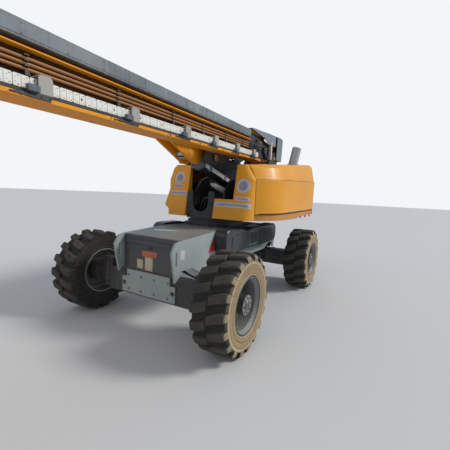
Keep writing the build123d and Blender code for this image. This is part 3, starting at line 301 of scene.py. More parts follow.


# low and high are the heights between which dust thins out. A high of 0.1 leaves it on top faces only.
# The frame's paint carries a painted reflection that darkens its top faces.
GREY_PAINT = paint("grey_frame_paint", tint(150, 160, 157), 0.45, dust=0.4, low=0.35, high=1.1,
                   chip=tint(70, 70, 68), stain=painted_top_reflection)
END_PAINT = paint("end_cover_paint", tint(68, 70, 72), 0.5, dust=0.25, low=0.5, high=1.0,
                  chip=tint(60, 60, 58))
DARK_PAINT = paint("dark_frame_paint", tint(38, 42, 46), 0.42, dust=0.22, low=0.3, high=1.5)
AXLE_PAINT = paint("axle_paint", tint(44, 48, 53), 0.5, dust=0.4, low=0.2, high=0.9, chip=RUST)
POD_PAINT = paint("pod_paint", tint(29, 33, 37), 0.34, dust=0.10, low=0.7, high=1.2, coat=0.3)
HOOD_PAINT = paint("hood_paint", tint(230, 156, 30), 0.4, dust=0.10, fade=0.06, low=0.9, high=1.15,
                   coat=0.15, edge=0.012, chip=tint(206, 140, 60), shine=0.35)
# The boom's paint carries painted shade on its left side, behind the pipes and inside the tray.
BOOM_PAINT = paint("boom_paint", tint(228, 146, 26), 0.5, dust=0.10, fade=0.08, low=0.0, high=0.1,
                   chip=tint(120, 84, 50), stain=painted_shade_behind_pipes, shine=0.2)
SKIRT_PAINT = paint("skirt_paint", tint(196, 128, 40), 0.42, dust=0.5, low=1.0, high=1.5)
CAST_PAINT = paint("counterweight_paint", tint(222, 148, 52), 0.5, dust=0.35, low=1.1, high=1.7,
                   edge=0.014, peel=0.0016)
DUCT_PAINT = paint("duct_paint", tint(104, 112, 118), 0.46, dust=0.5, fade=0.32, low=0.0, high=0.1,
                   edge=0.010, chip=tint(168, 172, 174), streaks=(26.0, 1.0, 1.6), stain=weathered_sheet)
COVER_PAINT = paint("cover_paint", tint(112, 124, 132), 0.4, dust=0.3, low=0.0, high=0.1)


def from_axle(f):
    """Distance from the nearest axle's line, and outward from the middle plane of the wheels on it."""
    fore = abs(f.axis("X") - SLEW_X) - AXLE_X
    high = f.axis("Z") - TYRE_R
    return (fore * fore + high * high) ** 0.5, abs(f.axis("Y")) - TRACK_Y


def rim_paint():
    """Pale grey in the barrel and on the hub; the disc at the bottom of the dish darkened with painted shade.
    """
    f = Finish("rim_paint")
    soft, edges = f.rounded(0.003)
    radius, outward = from_axle(f)
    cloud, grain = f.noise(4.0, 5.0, 0.6), f.noise(48.0, 6.0, 0.7)
    # Painted shade on the disc, deep in the dish.
    disc_shade = f.between(radius, 0.262, 0.228) * f.between(abs(outward), RIM_LIP - 0.010, RIM_LIP - 0.022)
    tone = f.mix(cloud * 0.5, tint(134, 136, 132), tint(104, 106, 104))
    tone = f.mix(disc_shade * (0.75 + grain * 0.25), tone, tint(42, 41, 40))
    dust = f.between(cloud * 0.4 + grain * 0.6, 0.42, 0.68) * (0.26 - disc_shade * 0.12)
    tone = f.mix(dust, tone, DUST)
    tone = f.mix(edges * f.between(grain, 0.5, 0.62), tone, RUST)
    return f.surface(tone, 0.42 + dust * 0.45, 0.0, f.bump(f.noise(420.0, 2.0), 0.0005, 0.4, soft))


RIM_PAINT = rim_paint()
PLATFORM_PAINT = paint("platform_paint", tint(122, 128, 132), 0.45, dust=0.3, low=0.0, high=0.6, edge=0.002)
CHROME = metal("chrome_rod", tint(206, 206, 204), 0.12, 0.12)
PIPE_METAL = paint("pipe_paint", tint(150, 98, 44), 0.45, dust=0.3, low=0.0, high=0.1, edge=0.001)
EXHAUST_METAL = metal("exhaust_steel", tint(176, 173, 175), 0.36, 0.2, metallic=0.35)
ENGINE_METAL = metal("engine_casting", tint(84, 84, 84), 0.6, 0.5)
TANK_PLASTIC = moulded("tank_plastic", tint(38, 38, 38))
CHAIN_PLASTIC = moulded("chain_plastic", tint(226, 223, 212), 0.55, 0.25)
CLAMP_PLASTIC = moulded("clamp_plastic", tint(30, 30, 31))
PIN_PLASTIC = moulded("chain_pin_plastic", tint(74, 72, 68), 0.6, 0.2)
GUIDE_PAINT = paint("guide_paint", tint(158, 154, 144), 0.42, dust=0.3, low=0.0, high=0.1, edge=0.002)
BLOCK_PAINT = paint("block_paint", tint(74, 86, 94), 0.42, dust=0.3, low=0.0, high=0.1, edge=0.002)
BOOM_EDGE = paint("boom_edge_paint", tint(232, 156, 32), 0.42, dust=0.12, fade=0.08, low=0.0, high=0.1,
                  edge=0.001)
WHEEL_FITTINGS = metal("wheel_fittings", tint(116, 115, 112), 0.42, 0.35, edge=0.001, metallic=0.6)
STEEL_BOLT = metal("steel_bolt", tint(150, 148, 142), 0.36, 0.35, edge=0.001)
# Pale paint made whiter still: painted sunlight on the guide arm and the parts at the boom's tail.
SUNLIT_WHITE_PAINT = paint("white_painted_sunlight", tint(232, 230, 214), 0.45, dust=0.15, low=1.0, high=1.3, edge=0.002)
# Plated pipes drawn matt and near white: a painted glint of sun on the plating.
GLINT_WHITE_PIPE = metal("pipe_painted_glint", tint(250, 250, 247), 0.3, 0.06, metallic=0.0)
BRASS = metal("brass_fitting", tint(198, 142, 76), 0.3, 0.2, edge=0.001)
LATCH_PLASTIC = moulded("latch_plastic", tint(34, 35, 37), 0.5, 0.3)
SEAL_RUBBER = moulded("seal_rubber", tint(40, 37, 33), 0.7, 0.35)
LINE_RUBBER = moulded("line_rubber", tint(34, 33, 33), 0.6, 0.3)


def film(name, colour, rough=0.35, dust=0.3, fade=0.2):
    """Sticker of thin film, faded in clouds and dusty."""
    f = Finish(name)
    cloud, grain = f.noise(5.0, 5.0, 0.6), f.noise(70.0, 5.0, 0.7)
    tone = f.mix(f.between(cloud, 0.35, 0.68), scaled(colour, 1 - fade), colour)
    dirt = f.between(cloud * 0.4 + grain * 0.6, 0.42, 0.66) * dust
    tone = f.mix(dirt, tone, DUST)
    return f.surface(tone, rough + dirt * 0.4, 0.0, f.bump(grain, 0.0003, 0.25))


PALE_FILM = film("pale_film", tint(204, 202, 208))
GREY_FILM = film("grey_film", tint(150, 152, 170))
ORANGE_FILM = film("orange_film", tint(196, 92, 40))
RED_FILM = film("red_film", tint(214, 44, 48))
GREEN_FILM = film("green_film", tint(44, 128, 96))
FADED_FILM = film("faded_film", tint(190, 226, 206), fade=0.3)
BEIGE_PLATE = film("beige_plate", tint(200, 186, 156), 0.4)


def banded_film():
    """Reflecting strip in red and white bands."""
    f = Finish("banded_film")
    band_pair = 0.30
    band = f.axis("X") * (1 / band_pair) % 1.0
    grain = f.noise(90.0, 4.0, 0.7)
    tone = f.mix(band > 0.5, tint(198, 40, 38), tint(222, 220, 212))
    dirt = f.between(grain, 0.45, 0.7) * 0.4
    tone = f.mix(dirt, tone, DUST)
    comb = f.node("ShaderNodeTexVoronoi", {"feature": "DISTANCE_TO_EDGE"},
                  {"Vector": f.place, "Scale": 300.0})
    return f.surface(tone, 0.3 + dirt * 0.4, 0.0, f.bump(comb, 0.0003, 0.4))


def lamp_lens():
    """Red lens with fine prisms."""
    f = Finish("lamp_lens")
    soft = f.rounded(0.002)[0]
    grain = f.noise(60.0, 4.0, 0.6)
    tone = f.mix(grain * 0.5, tint(150, 16, 14), tint(196, 40, 30))
    prisms = f.node("ShaderNodeTexVoronoi", None, {"Vector": f.place, "Scale": 160.0})
    return f.surface(tone, 0.15 + grain * 0.1, 0.0, f.bump(prisms, 0.0008, 0.5, soft), Coat_Weight=0.6)


BANDED_FILM = banded_film()
LAMP_LENS = lamp_lens()


def tyre_rubber():
    """Grey rubber, painted shade between the lugs, painted highlight on edges, sidewall and lug ends dusty.
    """
    f = Finish("tyre_rubber")
    bleached, brown = tint(186, 166, 130), tint(132, 106, 70)
    soft, edges = f.rounded(0.004)
    radius, outward = from_axle(f)
    cloud, fine = f.noise(3.5, 6.0, 0.65), f.noise(55.0, 6.0, 0.75)
    film = f.between(cloud * 0.5 + fine * 0.5, 0.36, 0.64)
    tone = f.mix(film * 0.38, tint(54, 53, 50), tint(112, 102, 84))
    # Painted shade deep in the tread between the lugs.
    tread_hollow_shade = f.between(radius, 0.500, 0.480)
    tone = f.mix(tread_hollow_shade * (0.55 + film * 0.2), tone, tint(27, 26, 24))
    wall = f.between(outward, TYRE_HALF - 0.016, TYRE_HALF - 0.008) * f.between(radius, 0.4445, 0.4385)
    tone = f.mix(wall * (0.74 + film * 0.26), tone, bleached)
    sideways = f.between(abs(f.axis("Y", f.facing)), 0.6, 0.9)
    lug_ends = sideways * f.between(outward, TYRE_HALF - 0.08, TYRE_HALF - 0.06)
    lug_ends = lug_ends * f.between(radius, 0.440, 0.448) * f.between(radius, 0.515, 0.495)
    tone = f.mix(lug_ends * (0.25 + film * 0.6), tone, bleached)
    worn_band = f.between(radius, 0.322, 0.330) * f.between(radius, 0.402, 0.394)
    stain = f.between(f.noise(7.0, 5.0, 0.7), 0.5, 0.7) * 0.3
    tone = f.mix(wall * (worn_band * 0.62 + stain), tone, brown)
    outer_seam = f.between(abs(radius - 0.405), 0.0060, 0.0035)
    inner_seam = f.between(abs(radius - 0.318), 0.005, 0.003)
    middle_seam = f.between(abs(radius - 0.352), 0.0035, 0.002)
    tone = f.mix(wall * (outer_seam + inner_seam + middle_seam * 0.5) * 0.62, tone, tint(62, 54, 42))
    # Painted highlight along the rubber's edges.
    tone = f.mix(edges * 0.34, tone, tint(158, 146, 120))
    height = fine * 0.6 + f.noise(240.0, 3.0) * 0.4
    return f.surface(tone, 0.92 - edges * 0.1, 0.0, f.bump(height, 0.0012, 0.6, soft))


TYRE_RUBBER = tyre_rubber()

FINISHES = {
    GREY_PAINT: ["chassis_frame", "bumpers"],
    END_PAINT: ["end_covers"],
    DARK_PAINT: ["slew_ring", "turntable_deck", "front_guard", "turret", "hood_rails", "lift_barrel",
                 "jib_foot", "jib_barrel", "platform_support", "boom_underplates"],
    AXLE_PAINT: ["front_axle", "rear_axle", "knuckle_left", "knuckle_right", "steering_cylinder"],
    POD_PAINT: ["side_pods"],
    HOOD_PAINT: ["hood_left", "hood_right", "front_panels"],
    BOOM_PAINT: ["boom_base", "boom_mid", "boom_fly", "chain_tray", "jib_arm", "jib_link"],
    SKIRT_PAINT: ["skirts"],
    CAST_PAINT: ["counterweight"],
    DUCT_PAINT: ["boom_duct"],
    COVER_PAINT: ["boom_rear_cover"],
    RIM_PAINT: ["rim_front_left", "rim_front_right", "rim_rear_left", "rim_rear_right"],
    PLATFORM_PAINT: ["platform_floor", "platform_rails", "platform_gate"],
    CHROME: ["steering_rod", "lift_rod", "jib_rod"],
    PIPE_METAL: ["boom_pipes"],
    EXHAUST_METAL: ["exhaust_stack"],
    ENGINE_METAL: ["engine_block"],
    TANK_PLASTIC: ["tanks", "platform_console"],
    CHAIN_PLASTIC: ["cable_chain"],
    CLAMP_PLASTIC: ["pipe_clamps"],
    GUIDE_PAINT: ["chain_guides"],
    TYRE_RUBBER: ["tyre_front_left", "tyre_front_right", "tyre_rear_left", "tyre_rear_right"],
}
for finish, names in FINISHES.items():
    for name in names:
        NODES[name].data.materials.clear()
        NODES[name].data.materials.append(finish)


# Meshes

def plane(across, up, out, origin):
    """Matrix of a piece's own plane: x across it, y up it and z out of it."""
    return Matrix([(across[i], up[i], out[i], origin[i]) for i in range(3)] + [(0, 0, 0, 1)])


def placed(origin, across, up):
    """The plane at a point with x across and y up, given at any length."""
    across, up = Vector(across).normalized(), Vector(up).normalized()
    return plane(across, up, across.cross(up), origin)


def upright(point, facing=(1, 0, 0), up=(0, 0, 1)):
    """The plane at a point with z along facing and y along up, given at any length."""
    facing, up = Vector(facing).normalized(), Vector(up).normalized()
    return plane(up.cross(facing), up, facing, point)


def side_place(side, x, y, z):
    """Plane on the machine's left (1) or right (-1), y from its middle: x to the front, y up, z out."""
    return plane((1, 0, 0), (0, 0, 1), (0, side, 0), (x, side * y, z))


def shifted(place, x, y, z):
    """The place moved along its own axes."""
    return place @ Matrix.Translation((x, y, z))


def turns(count, start=0.0):
    """Angles of equal steps round a circle."""
    return [start + 2 * pi * i / count for i in range(count)]


def inset(outline, by):
    """A convex or nearly convex outline with each corner moved in, so that its sides move by that much."""
    moved = []
    turn = sum(a[0] * b[1] - b[0] * a[1] for a, b in zip(outline, outline[1:] + outline[:1]))
    side = 1.0 if turn > 0 else -1.0
    for before, point, after in zip(outline[-1:] + outline[:-1], outline, outline[1:] + outline[:1]):
        a = (Vector(point) - Vector(before)).normalized()
        b = (Vector(after) - Vector(point)).normalized()
        normal = Vector((-a.y - b.y, a.x + b.x)).normalized()
        share = max(0.35, normal.dot(Vector((-a.y, a.x))))
        moved.append(tuple(Vector(point) + normal * side * by / share))
    return moved


def oblong(width, height, corner, steps=4):
    """Rectangle with round corners."""
    points = []
    for quarter, (sx, sy) in enumerate([(1, -1), (1, 1), (-1, 1), (-1, -1)]):
        for i in range(steps + 1):
            a = (quarter - 1 + i / steps) * pi / 2
            points.append((sx * (width / 2 - corner) + corner * cos(a),
                           sy * (height / 2 - corner) + corner * sin(a)))
    return points


def disc(radius, steps):
    """Points of a circle."""
    return [(radius * cos(a), radius * sin(a)) for a in turns(steps)]


class Form:
    """A mesh under construction, in metres. Each part closes on itself."""

    def __init__(self):
        self.mesh = bmesh.new()

    def skin(self, rings, place=None, round_again=False):
        """Skin over rings of points in space, closed at both ends, or joined round into a ring."""
        place = place or Matrix.Identity(4)
        rows = [[self.mesh.verts.new(place @ Vector(point)) for point in ring] for ring in rings]
        pairs = list(zip(rows, rows[1:])) + ([(rows[-1], rows[0])] if round_again else [])
        for low, high in pairs:
            for i in range(len(low)):
                j = (i + 1) % len(low)
                self.mesh.faces.new((low[i], low[j], high[j], high[i]))
        if not round_again:
            self.mesh.faces.new(rows[0][::-1])
            self.mesh.faces.new(rows[-1])

    def plate(self, outline, place, thick, edge=0.001, foot=0.0):
        """Plate with eased edges, its back on the place's plane or foot below it."""
        small = inset(outline, edge)
        self.skin([[(x, y, -foot) for x, y in outline], [(x, y, thick - edge) for x, y in outline],
                   [(x, y, thick) for x, y in small]], place)

    def turned(self, profile, place, steps=24, start=0.0):
        """Turned part about the place's z. Profile: height, radius."""
        angles = turns(steps, start)
        self.skin([[(r * cos(a), r * sin(a), z) for a in angles] for z, r in profile], place)

    def ring(self, section, place, steps):
        """Ring turned about the place's z from a closed section. Section: radius, height."""
        self.skin([[(r * sin(a), r * cos(a), z) for r, z in section] for a in turns(steps)], place, True)

    def bolt(self, place, size):
        """Hexagon head on its washer. size is the thread's diameter."""
        washer = [(-0.001, size * 1.08), (size * 0.12, size * 1.08), (size * 0.16, size * 1.02)]
        self.turned(washer, place, 14)
        head = size * 0.86
        self.turned([(size * 0.14, head), (size * 0.72, head), (size * 0.8, head * 0.86)], place, 6, 0.3)

    def bar(self, start, end, radius, steps=12, edge=0.002):
        """Round bar between two points."""
        start, end = Vector(start), Vector(end)
        line = end - start
        side = line.cross(Vector((0, 0, 1)) if abs(line.normalized().z) < 0.9 else Vector((1, 0, 0)))
        profile = [(0, radius - edge), (edge, radius),
                   (line.length - edge, radius), (line.length, radius - edge)]
        self.turned(profile, placed(start, side, line.cross(side)), steps)

    def box(self, place, width, height, thick, edge=0.002, corner=None, foot=0.0):
        """Plate of width by height about the place's origin, with clipped corners or round ones."""
        outline = oblong(width, height, edge, 1) if corner is None else oblong(width, height, corner)
        self.plate(outline, place, thick, edge, foot)


def dress(obj, body, finish, hides=()):
    """Gives a piece its body and finish, and hides the nodes that it stands for."""
    obj.data.materials.append(finish)
    bpy.context.scene.collection.objects.link(obj)
    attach(obj, body)
    if hides:
        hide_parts(*hides)
    return obj


def piece(name, body, finish, form, hides=(), sharp=34.0):
    """Makes a piece of a form, smooth apart from edges sharper than sharp, in degrees."""
    mesh = bpy.data.meshes.new(name)
    bmesh.ops.recalc_face_normals(form.mesh, faces=form.mesh.faces)
    form.mesh.to_mesh(mesh)
    form.mesh.free()
    mesh.shade_smooth()
    mesh.set_sharp_from_angle(angle=radians(sharp))
    return dress(bpy.data.objects.new(name, mesh), body, finish, hides)


def bent_lines(name, body, routes, radius):
    """Rubber lines, each on one smooth curve through its route."""
    curve = bpy.data.curves.new(name, "CURVE")
    curve.dimensions = "3D"
    curve.bevel_depth, curve.bevel_resolution, curve.resolution_u = radius, 3, 6
    curve.use_fill_caps = True
    for route in routes:
        spline = curve.splines.new("NURBS")
        spline.points.add(len(route) - 1)
        for point, place in zip(spline.points, route):
            point.co = (*place, 1.0)
        spline.order_u = 3
        spline.use_endpoint_u = True
    return dress(bpy.data.objects.new(name, curve), body, LINE_RUBBER)


def skin_of(node):
    """A node's faces, for dropping things on to them."""
    return BVHTree.FromObject(NODES[node], bpy.context.evaluated_depsgraph_get())


def dropped(tree, place, x, y, lift, reach=0.3):
    """The point of the faces under x, y of a place, lifted off them along the place's z."""
    away = (place.to_3x3() @ Vector((0, 0, 1))).normalized()
    point = place @ Vector((x, y, 0))
    hit = tree.ray_cast(point + away * reach, -away)[0]
    return (point if hit is None else hit) + away * lift


def hit_from_side(tree, side, x, z):
    """First point of the faces seen from the left (1) or right (-1) at x and z, and their normal there."""
    return tree.ray_cast(spot(x, side * 2.0, z), Vector((0, -side, 0)))[:2]


LAID_RINGS = (0.985, 0.85, 0.70, 0.54, 0.38, 0.22, 0.03)
STRIP_COLUMNS = 30


def laid(form, node, outline, place, reach=0.3, proud=0.0012):
    """Thin convex sheet that lies on a node's surface, dropped on to it along the place's z."""
    tree = skin_of(node)
    middle_x = sum(x for x, _ in outline) / len(outline)
    middle_y = sum(y for _, y in outline) / len(outline)

    def ring(share, lift):
        spread = [(middle_x + (x - middle_x) * share, middle_y + (y - middle_y) * share) for x, y in outline]
        return [dropped(tree, place, x, y, lift, reach) for x, y in spread]

    under = [ring(share, -0.0008) for share in LAID_RINGS[::-1]]
    edge = [ring(1.0, -0.0008), ring(1.0, proud * 0.7)]
    form.skin(under + edge + [ring(share, proud) for share in LAID_RINGS])


def laid_strip(form, node, width, height, place, proud=0.0012):
    """Thin oblong sheet that follows a surface curved along it."""
    tree = skin_of(node)
    rows = []
    for i in range(STRIP_COLUMNS + 1):
        x = (i / STRIP_COLUMNS - 0.5) * width
        side = height / 2 - (0.004 if i in (0, STRIP_COLUMNS) else 0.0)
        section = [(-side, -0.001), (-side, proud * 0.8), (0.0012 - side, proud),
                   (side - 0.0012, proud), (side, proud * 0.8), (side, -0.001)]
        rows.append([dropped(tree, place, x, y, lift) for y, lift in section])
    form.skin(rows)


# Wheels

NUT_CIRCLE = 0.168
HUB_BOLT_CIRCLE = 0.076
HUB_FACE = TYRE_HALF - 0.0275


def wheel_place(key):
    """x to the front, y up, z out of the machine, from the wheel's middle."""
    return side_place(1 if key.endswith("left") else -1, WHEELS[key].x, TRACK_Y, WHEELS[key].z)


def lug(form, place, angle, side, worn):
    """Bar of the tread from near the middle out over the shoulder, wider at its foot."""
    # Distance from the middle plane, share of the bend, and how far the top lies below the tyre's radius.
    stations = [(0.004, 0.0, -0.008), (0.009, 0.0, 0.0), (0.05, 0.2, 0.0), (0.10, 0.47, 0.0),
                (0.145, 0.72, -0.001), (0.163, 0.82, -0.006), (0.177, 0.91, -0.016), (0.187, 0.96, -0.030),
                (0.1912, 0.99, -0.046), (0.1920, 1.0, -0.064), (0.1905, 1.0, -0.073), (0.186, 1.0, -0.077)]
    ease = 0.006
    rings = []
    for across, share, fall in stations:
        bend = 0.0198 - 0.0572 * share - 0.010 * sin(pi * share)
        half = 0.036 + 0.008 * sin(pi * (0.25 + 0.6 * share))
        top = TYRE_R + fall - worn
        foot = min(top - 0.004, 0.470 if across < 0.165 else 0.452 - (across - 0.165) * 2.4)
        section = [(-half - 0.010, foot), (-half, top - ease), (-half + ease, top), (-half * 0.3, top),
                   (half * 0.3, top), (half - ease, top), (half, top - ease), (half + 0.010, foot)]
        ring = []
        for s, r in section:
            a = angle + (bend + s) / TYRE_R
            ring.append((-r * sin(a) * side, -r * cos(a), side * across))
        rings.append(ring)
    form.skin(rings, place)


def tyre(key):
    """Carcass with its ribbed sidewalls, and two rows of lugs that aren't all worn alike."""
    form = Form()
    place = wheel_place(key)
    # From the crown to the bead: distance from the middle plane, radius.
    half = [(0.0, 0.477), (0.09, 0.4765), (0.145, 0.473), (0.166, 0.463), (0.178, 0.450), (0.184, 0.442),
            (0.1898, 0.4395), (0.1906, 0.436), (0.1898, 0.4325), (0.1885, 0.428), (0.1895, 0.414),
            (0.1918, 0.392), (0.1918, 0.372), (0.1895, 0.3685), (0.1892, 0.352), (0.1918, 0.348),
            (0.1910, 0.334), (0.188, 0.322), (0.1845, 0.3205), (0.184, 0.313), (0.1868, 0.310),
            (0.185, 0.301), (0.178, 0.296), (0.174, 0.2895)]
    form.ring([(r, w) for w, r in half] + [(r, -w) for w, r in half[:0:-1]], place, 80)
    chance = random.Random(key)
    pitch = 2 * pi / LUGS
    for i in range(LUGS):
        lug(form, place, (i + 0.5) * pitch, 1, chance.uniform(0, 0.003))
        lug(form, place, i * pitch, -1, chance.uniform(0, 0.003))
    piece(f"dressed_tyre_{key}", f"wheel_{key}", TYRE_RUBBER, form, [f"tyre_{key}"], 40)


def wheel_fittings(key):
    """Nuts on the disc, bolts and cap on the hub, bead of the rim and the valve."""
    form = Form()
    place = wheel_place(key)
    for a in turns(10, pi / 10):
        nut = shifted(place, NUT_CIRCLE * cos(a), NUT_CIRCLE * sin(a), DISC_FACE + 0.004)
        form.turned([(-0.004, 0.021), (0.004, 0.021), (0.006, 0.0165)], nut, 14)
        form.turned([(0.004, 0.0165), (0.022, 0.0165), (0.025, 0.0135)], nut, 6)
        form.turned([(0.02, 0.009), (0.036, 0.009), (0.038, 0.007)], nut, 10)
    for a in turns(8):
        across, up = HUB_BOLT_CIRCLE * cos(a), HUB_BOLT_CIRCLE * sin(a)
        form.bolt(shifted(place, across, up, HUB_FACE + 0.0005), 0.0135)
    hub = shifted(place, 0, 0, HUB_FACE)
    form.turned([(0, 0.052), (0.006, 0.052), (0.012, 0.046), (0.015, 0.030), (0.0155, 0.012)], hub, 28)
    form.turned([(0.014, 0.010), (0.021, 0.010), (0.022, 0.008)], hub, 6)
    bead = [(0.277, -0.001), (0.2775, 0.004), (0.283, 0.0065), (0.288, 0.004), (0.2885, -0.001)]
    form.ring(bead, shifted(place, 0, 0, RIM_LIP), 64)
    valve = shifted(place, 0.246, 0.0, DISC_FACE + 0.07)
    form.turned([(-0.03, 0.008), (0.02, 0.008), (0.022, 0.0055), (0.035, 0.0055)], valve, 10)
    piece(f"wheel_fittings_{key}", f"wheel_{key}", WHEEL_FITTINGS, form)


for key in WHEELS:
    tyre(key)
    wheel_fittings(key)


# Cable chain beside the boom

# Heights and starts on the boom count from its pivot.
LINK_PITCH = 0.090
CHAIN_START = 1.260
LINKS = 75
CHAIN_IN, CHAIN_OUT = (corner.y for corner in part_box("cable_chain"))
CHAIN_FOOT, CHAIN_TOP = -0.0997, -0.0277
LINK_SIDE = 0.0065


def boom_place(x, y, z, side=1):
    """x along the boom, y above it, z out to one side."""
    return plane(ALONG_BOOM, ABOVE_BOOM, (0, side, 0), on_boom(x, y, z))


def boom_top(x, y, z, sign=1):
    """x along the boom, y to the left, z above it, or below it with a sign of -1."""
    return plane(ALONG_BOOM, (0, 1, 0), ABOVE_BOOM * sign, on_boom(x, y, z))


def chain_links():
    """Side plates and bridges of the links, with a division line, screws and a pin in every third."""
    links, dots = Form(), Form()
    middle_z, height = (CHAIN_FOOT + CHAIN_TOP) / 2, CHAIN_TOP - CHAIN_FOOT
    length, depth = LINKS * LINK_PITCH, CHAIN_OUT - CHAIN_IN
    core = boom_place(CHAIN_START + length / 2, CHAIN_IN + 0.006, middle_z)
    links.box(core, length - 0.002, height - 0.010, depth - 0.012)
    outline = [(-0.0435, -0.030), (-0.037, -0.036), (0.037, -0.036), (0.0435, -0.030),
               (0.0435, 0.030), (0.037, 0.036), (-0.037, 0.036), (-0.0435, 0.030)]
    # Place along the link and above its middle, length.
    screws = [(-0.030, -0.024, 0.011), (-0.030, 0.024, 0.011), (-0.017, -0.012, 0.004),
              (-0.017, 0.014, 0.004), (0.017, -0.024, 0.011), (0.017, 0.024, 0.011),
              (0.031, -0.010, 0.004), (0.031, 0.014, 0.004)]
    for i in range(LINKS):
        x = CHAIN_START + (i + 0.5) * LINK_PITCH
        links.plate(outline, boom_place(x, CHAIN_OUT - LINK_SIDE, middle_z), LINK_SIDE, 0.0016, 0.001)
        links.plate(outline, boom_place(x, CHAIN_IN + LINK_SIDE, middle_z, -1), LINK_SIDE, 0.0016, 0.001)
        lid = boom_top(x, (CHAIN_IN + CHAIN_OUT) / 2, CHAIN_TOP - 0.006)
        links.box(lid, 0.046, depth - 0.014, 0.006, 0.0015)
        dots.box(boom_place(x, CHAIN_OUT - 0.0008, middle_z), 0.0022, 0.066, 0.0012, 0.0003)
        for along, up, reach in screws:
            dots.box(boom_place(x + along, CHAIN_OUT - 0.0008, middle_z + up), reach, 0.0042, 0.0014, 0.0004)
        if i % 3 == 1:
            pin = boom_place(x - 0.018, CHAIN_OUT, middle_z)
            dots.turned([(-0.002, 0.0075), (0.0012, 0.0075), (0.002, 0.006), (0.001, 0.004)], pin, 14)
    piece("chain_links", "boom", CHAIN_PLASTIC, links, ["cable_chain"])
    piece("chain_pins", "boom", PIN_PLASTIC, dots)


chain_links()


# Turntable: stickers without words, guard plate, latches, vents and lamps

PANEL_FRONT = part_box("front_panels")[1].x - SLEW_X
PANEL_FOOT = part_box("front_panels")[0].z
PANEL_LEAN, PANEL_RISE = 0.132, 0.750
PANEL_UP = Vector((-PANEL_LEAN, 0, PANEL_RISE)).normalized()
HOOD_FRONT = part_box("hood_left")[1].x - SLEW_X
TURRET_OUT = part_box("turret")[1].y


def on_panel(y, z):
    """Place on the leaning face of the front panels."""
    back = PANEL_LEAN * (z - PANEL_FOOT) / PANEL_RISE
    return placed(spot(PANEL_FRONT - back, y, z), (0, 1, 0), PANEL_UP)


def panel_stickers():
    """Round stickers and strips on the front panels, with a plain field where each would be printed."""
    pale, fields = Form(), Form()
    for y, z, radius in [(0.640, 1.717, 0.097), (-0.425, 1.815, 0.086)]:
        laid(pale, "front_panels", disc(radius, 36), on_panel(y, z))
        laid(fields, "front_panels", disc(radius * 0.66, 30), on_panel(y, z), proud=0.0018)
    for y, z, width, height in [(0.645, 1.545, 0.19, 0.052), (0.500, 1.455, 0.52, 0.066),
                                (-0.440, 1.690, 0.15, 0.05), (-0.420, 1.585, 0.30, 0.06)]:
        laid_strip(pale, "front_panels", width, height, on_panel(y, z))
        laid_strip(fields, "front_panels", width * 0.90, height * 0.42, on_panel(y, z), proud=0.0018)
    piece("blank_stickers", "turntable", PALE_FILM, pale)
    piece("blank_sticker_fields", "turntable", GREY_FILM, fields)


def guard_plate():
    """Plate between the front panels, open above in a deep round notch, and a cheek at each end of it."""
    form, bolts = Form(), Form()
    low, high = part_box("front_guard")
    face = upright((high.x, 0, 0))
    thick, clipped = 0.020, 0.03
    notch_y, notch_z, radius = -0.015, 1.472, 0.135
    bend = [(notch_y + radius * cos(pi * i / 14), notch_z - radius * sin(pi * i / 14) * 1.05)
            for i in range(15)]
    right, left = notch_y - radius, notch_y + radius
    outline = [(low.y, low.z), (high.y, low.z), (high.y, high.z - clipped), (high.y - clipped, high.z)]
    outline += [(left, high.z), (left, notch_z + 0.006)] + bend + [(right, notch_z + 0.006), (right, high.z)]
    outline += [(low.y + clipped, high.z), (low.y, high.z - clipped)]
    form.plate(outline, shifted(face, 0, 0, -thick), thick, 0.003)
    cheek_thick = 0.012
    cheek = [(-SLEW_X - 0.300, 1.258), (-SLEW_X - 0.300, 1.560), (-SLEW_X - 0.340, 1.600),
             (-high.x + thick - 0.0005, 1.600), (-high.x + thick - 0.0005, 1.258)]
    for y in (low.y, high.y - cheek_thick):
        form.plate(cheek, placed((0, y, 0), (-1, 0, 0), (0, 0, 1)), cheek_thick, 0.0015)
    piece("guard_plate", "turntable", DARK_PAINT, form, ["front_guard"])
    for y, z in [(y, z) for y in (-0.205, 0.175) for z in (1.285, 1.45, 1.58)] + [(0.0, 1.285)]:
        bolts.bolt(shifted(face, y, z, 0), 0.013)
    piece("guard_bolts", "turntable", DARK_PAINT, bolts)


def on_right_hood(x, z):
    """Place on the right hood's outside at x and z: x along the hood, y up, z out."""
    hit, normal = hit_from_side(skin_of("hood_right"), -1, x, z)
    normal = normal if normal.y < 0 else -normal
    across = Vector((0, 0, 1)).cross(normal).normalized()
    return placed(hit, across, normal.cross(across))


def right_latches():
    """Two latches with their keepers on the right hood."""
    form = Form()
    for x in (-0.35, -1.25):
        place = on_right_hood(x, 1.455)
        form.box(place, 0.105, 0.075, 0.010, 0.003, 0.016, 0.004)
        form.box(shifted(place, 0, 0.004, 0.009), 0.072, 0.038, 0.007, 0.0025, 0.012)
        form.turned([(0.008, 0.008), (0.013, 0.008), (0.014, 0.006)], shifted(place, 0, -0.026, 0), 14)
        form.box(shifted(place, 0, -0.085, 0), 0.050, 0.030, 0.006, 0.002, 0.006, 0.004)
    piece("hood_right_latches", "hood_right", LATCH_PLASTIC, form)


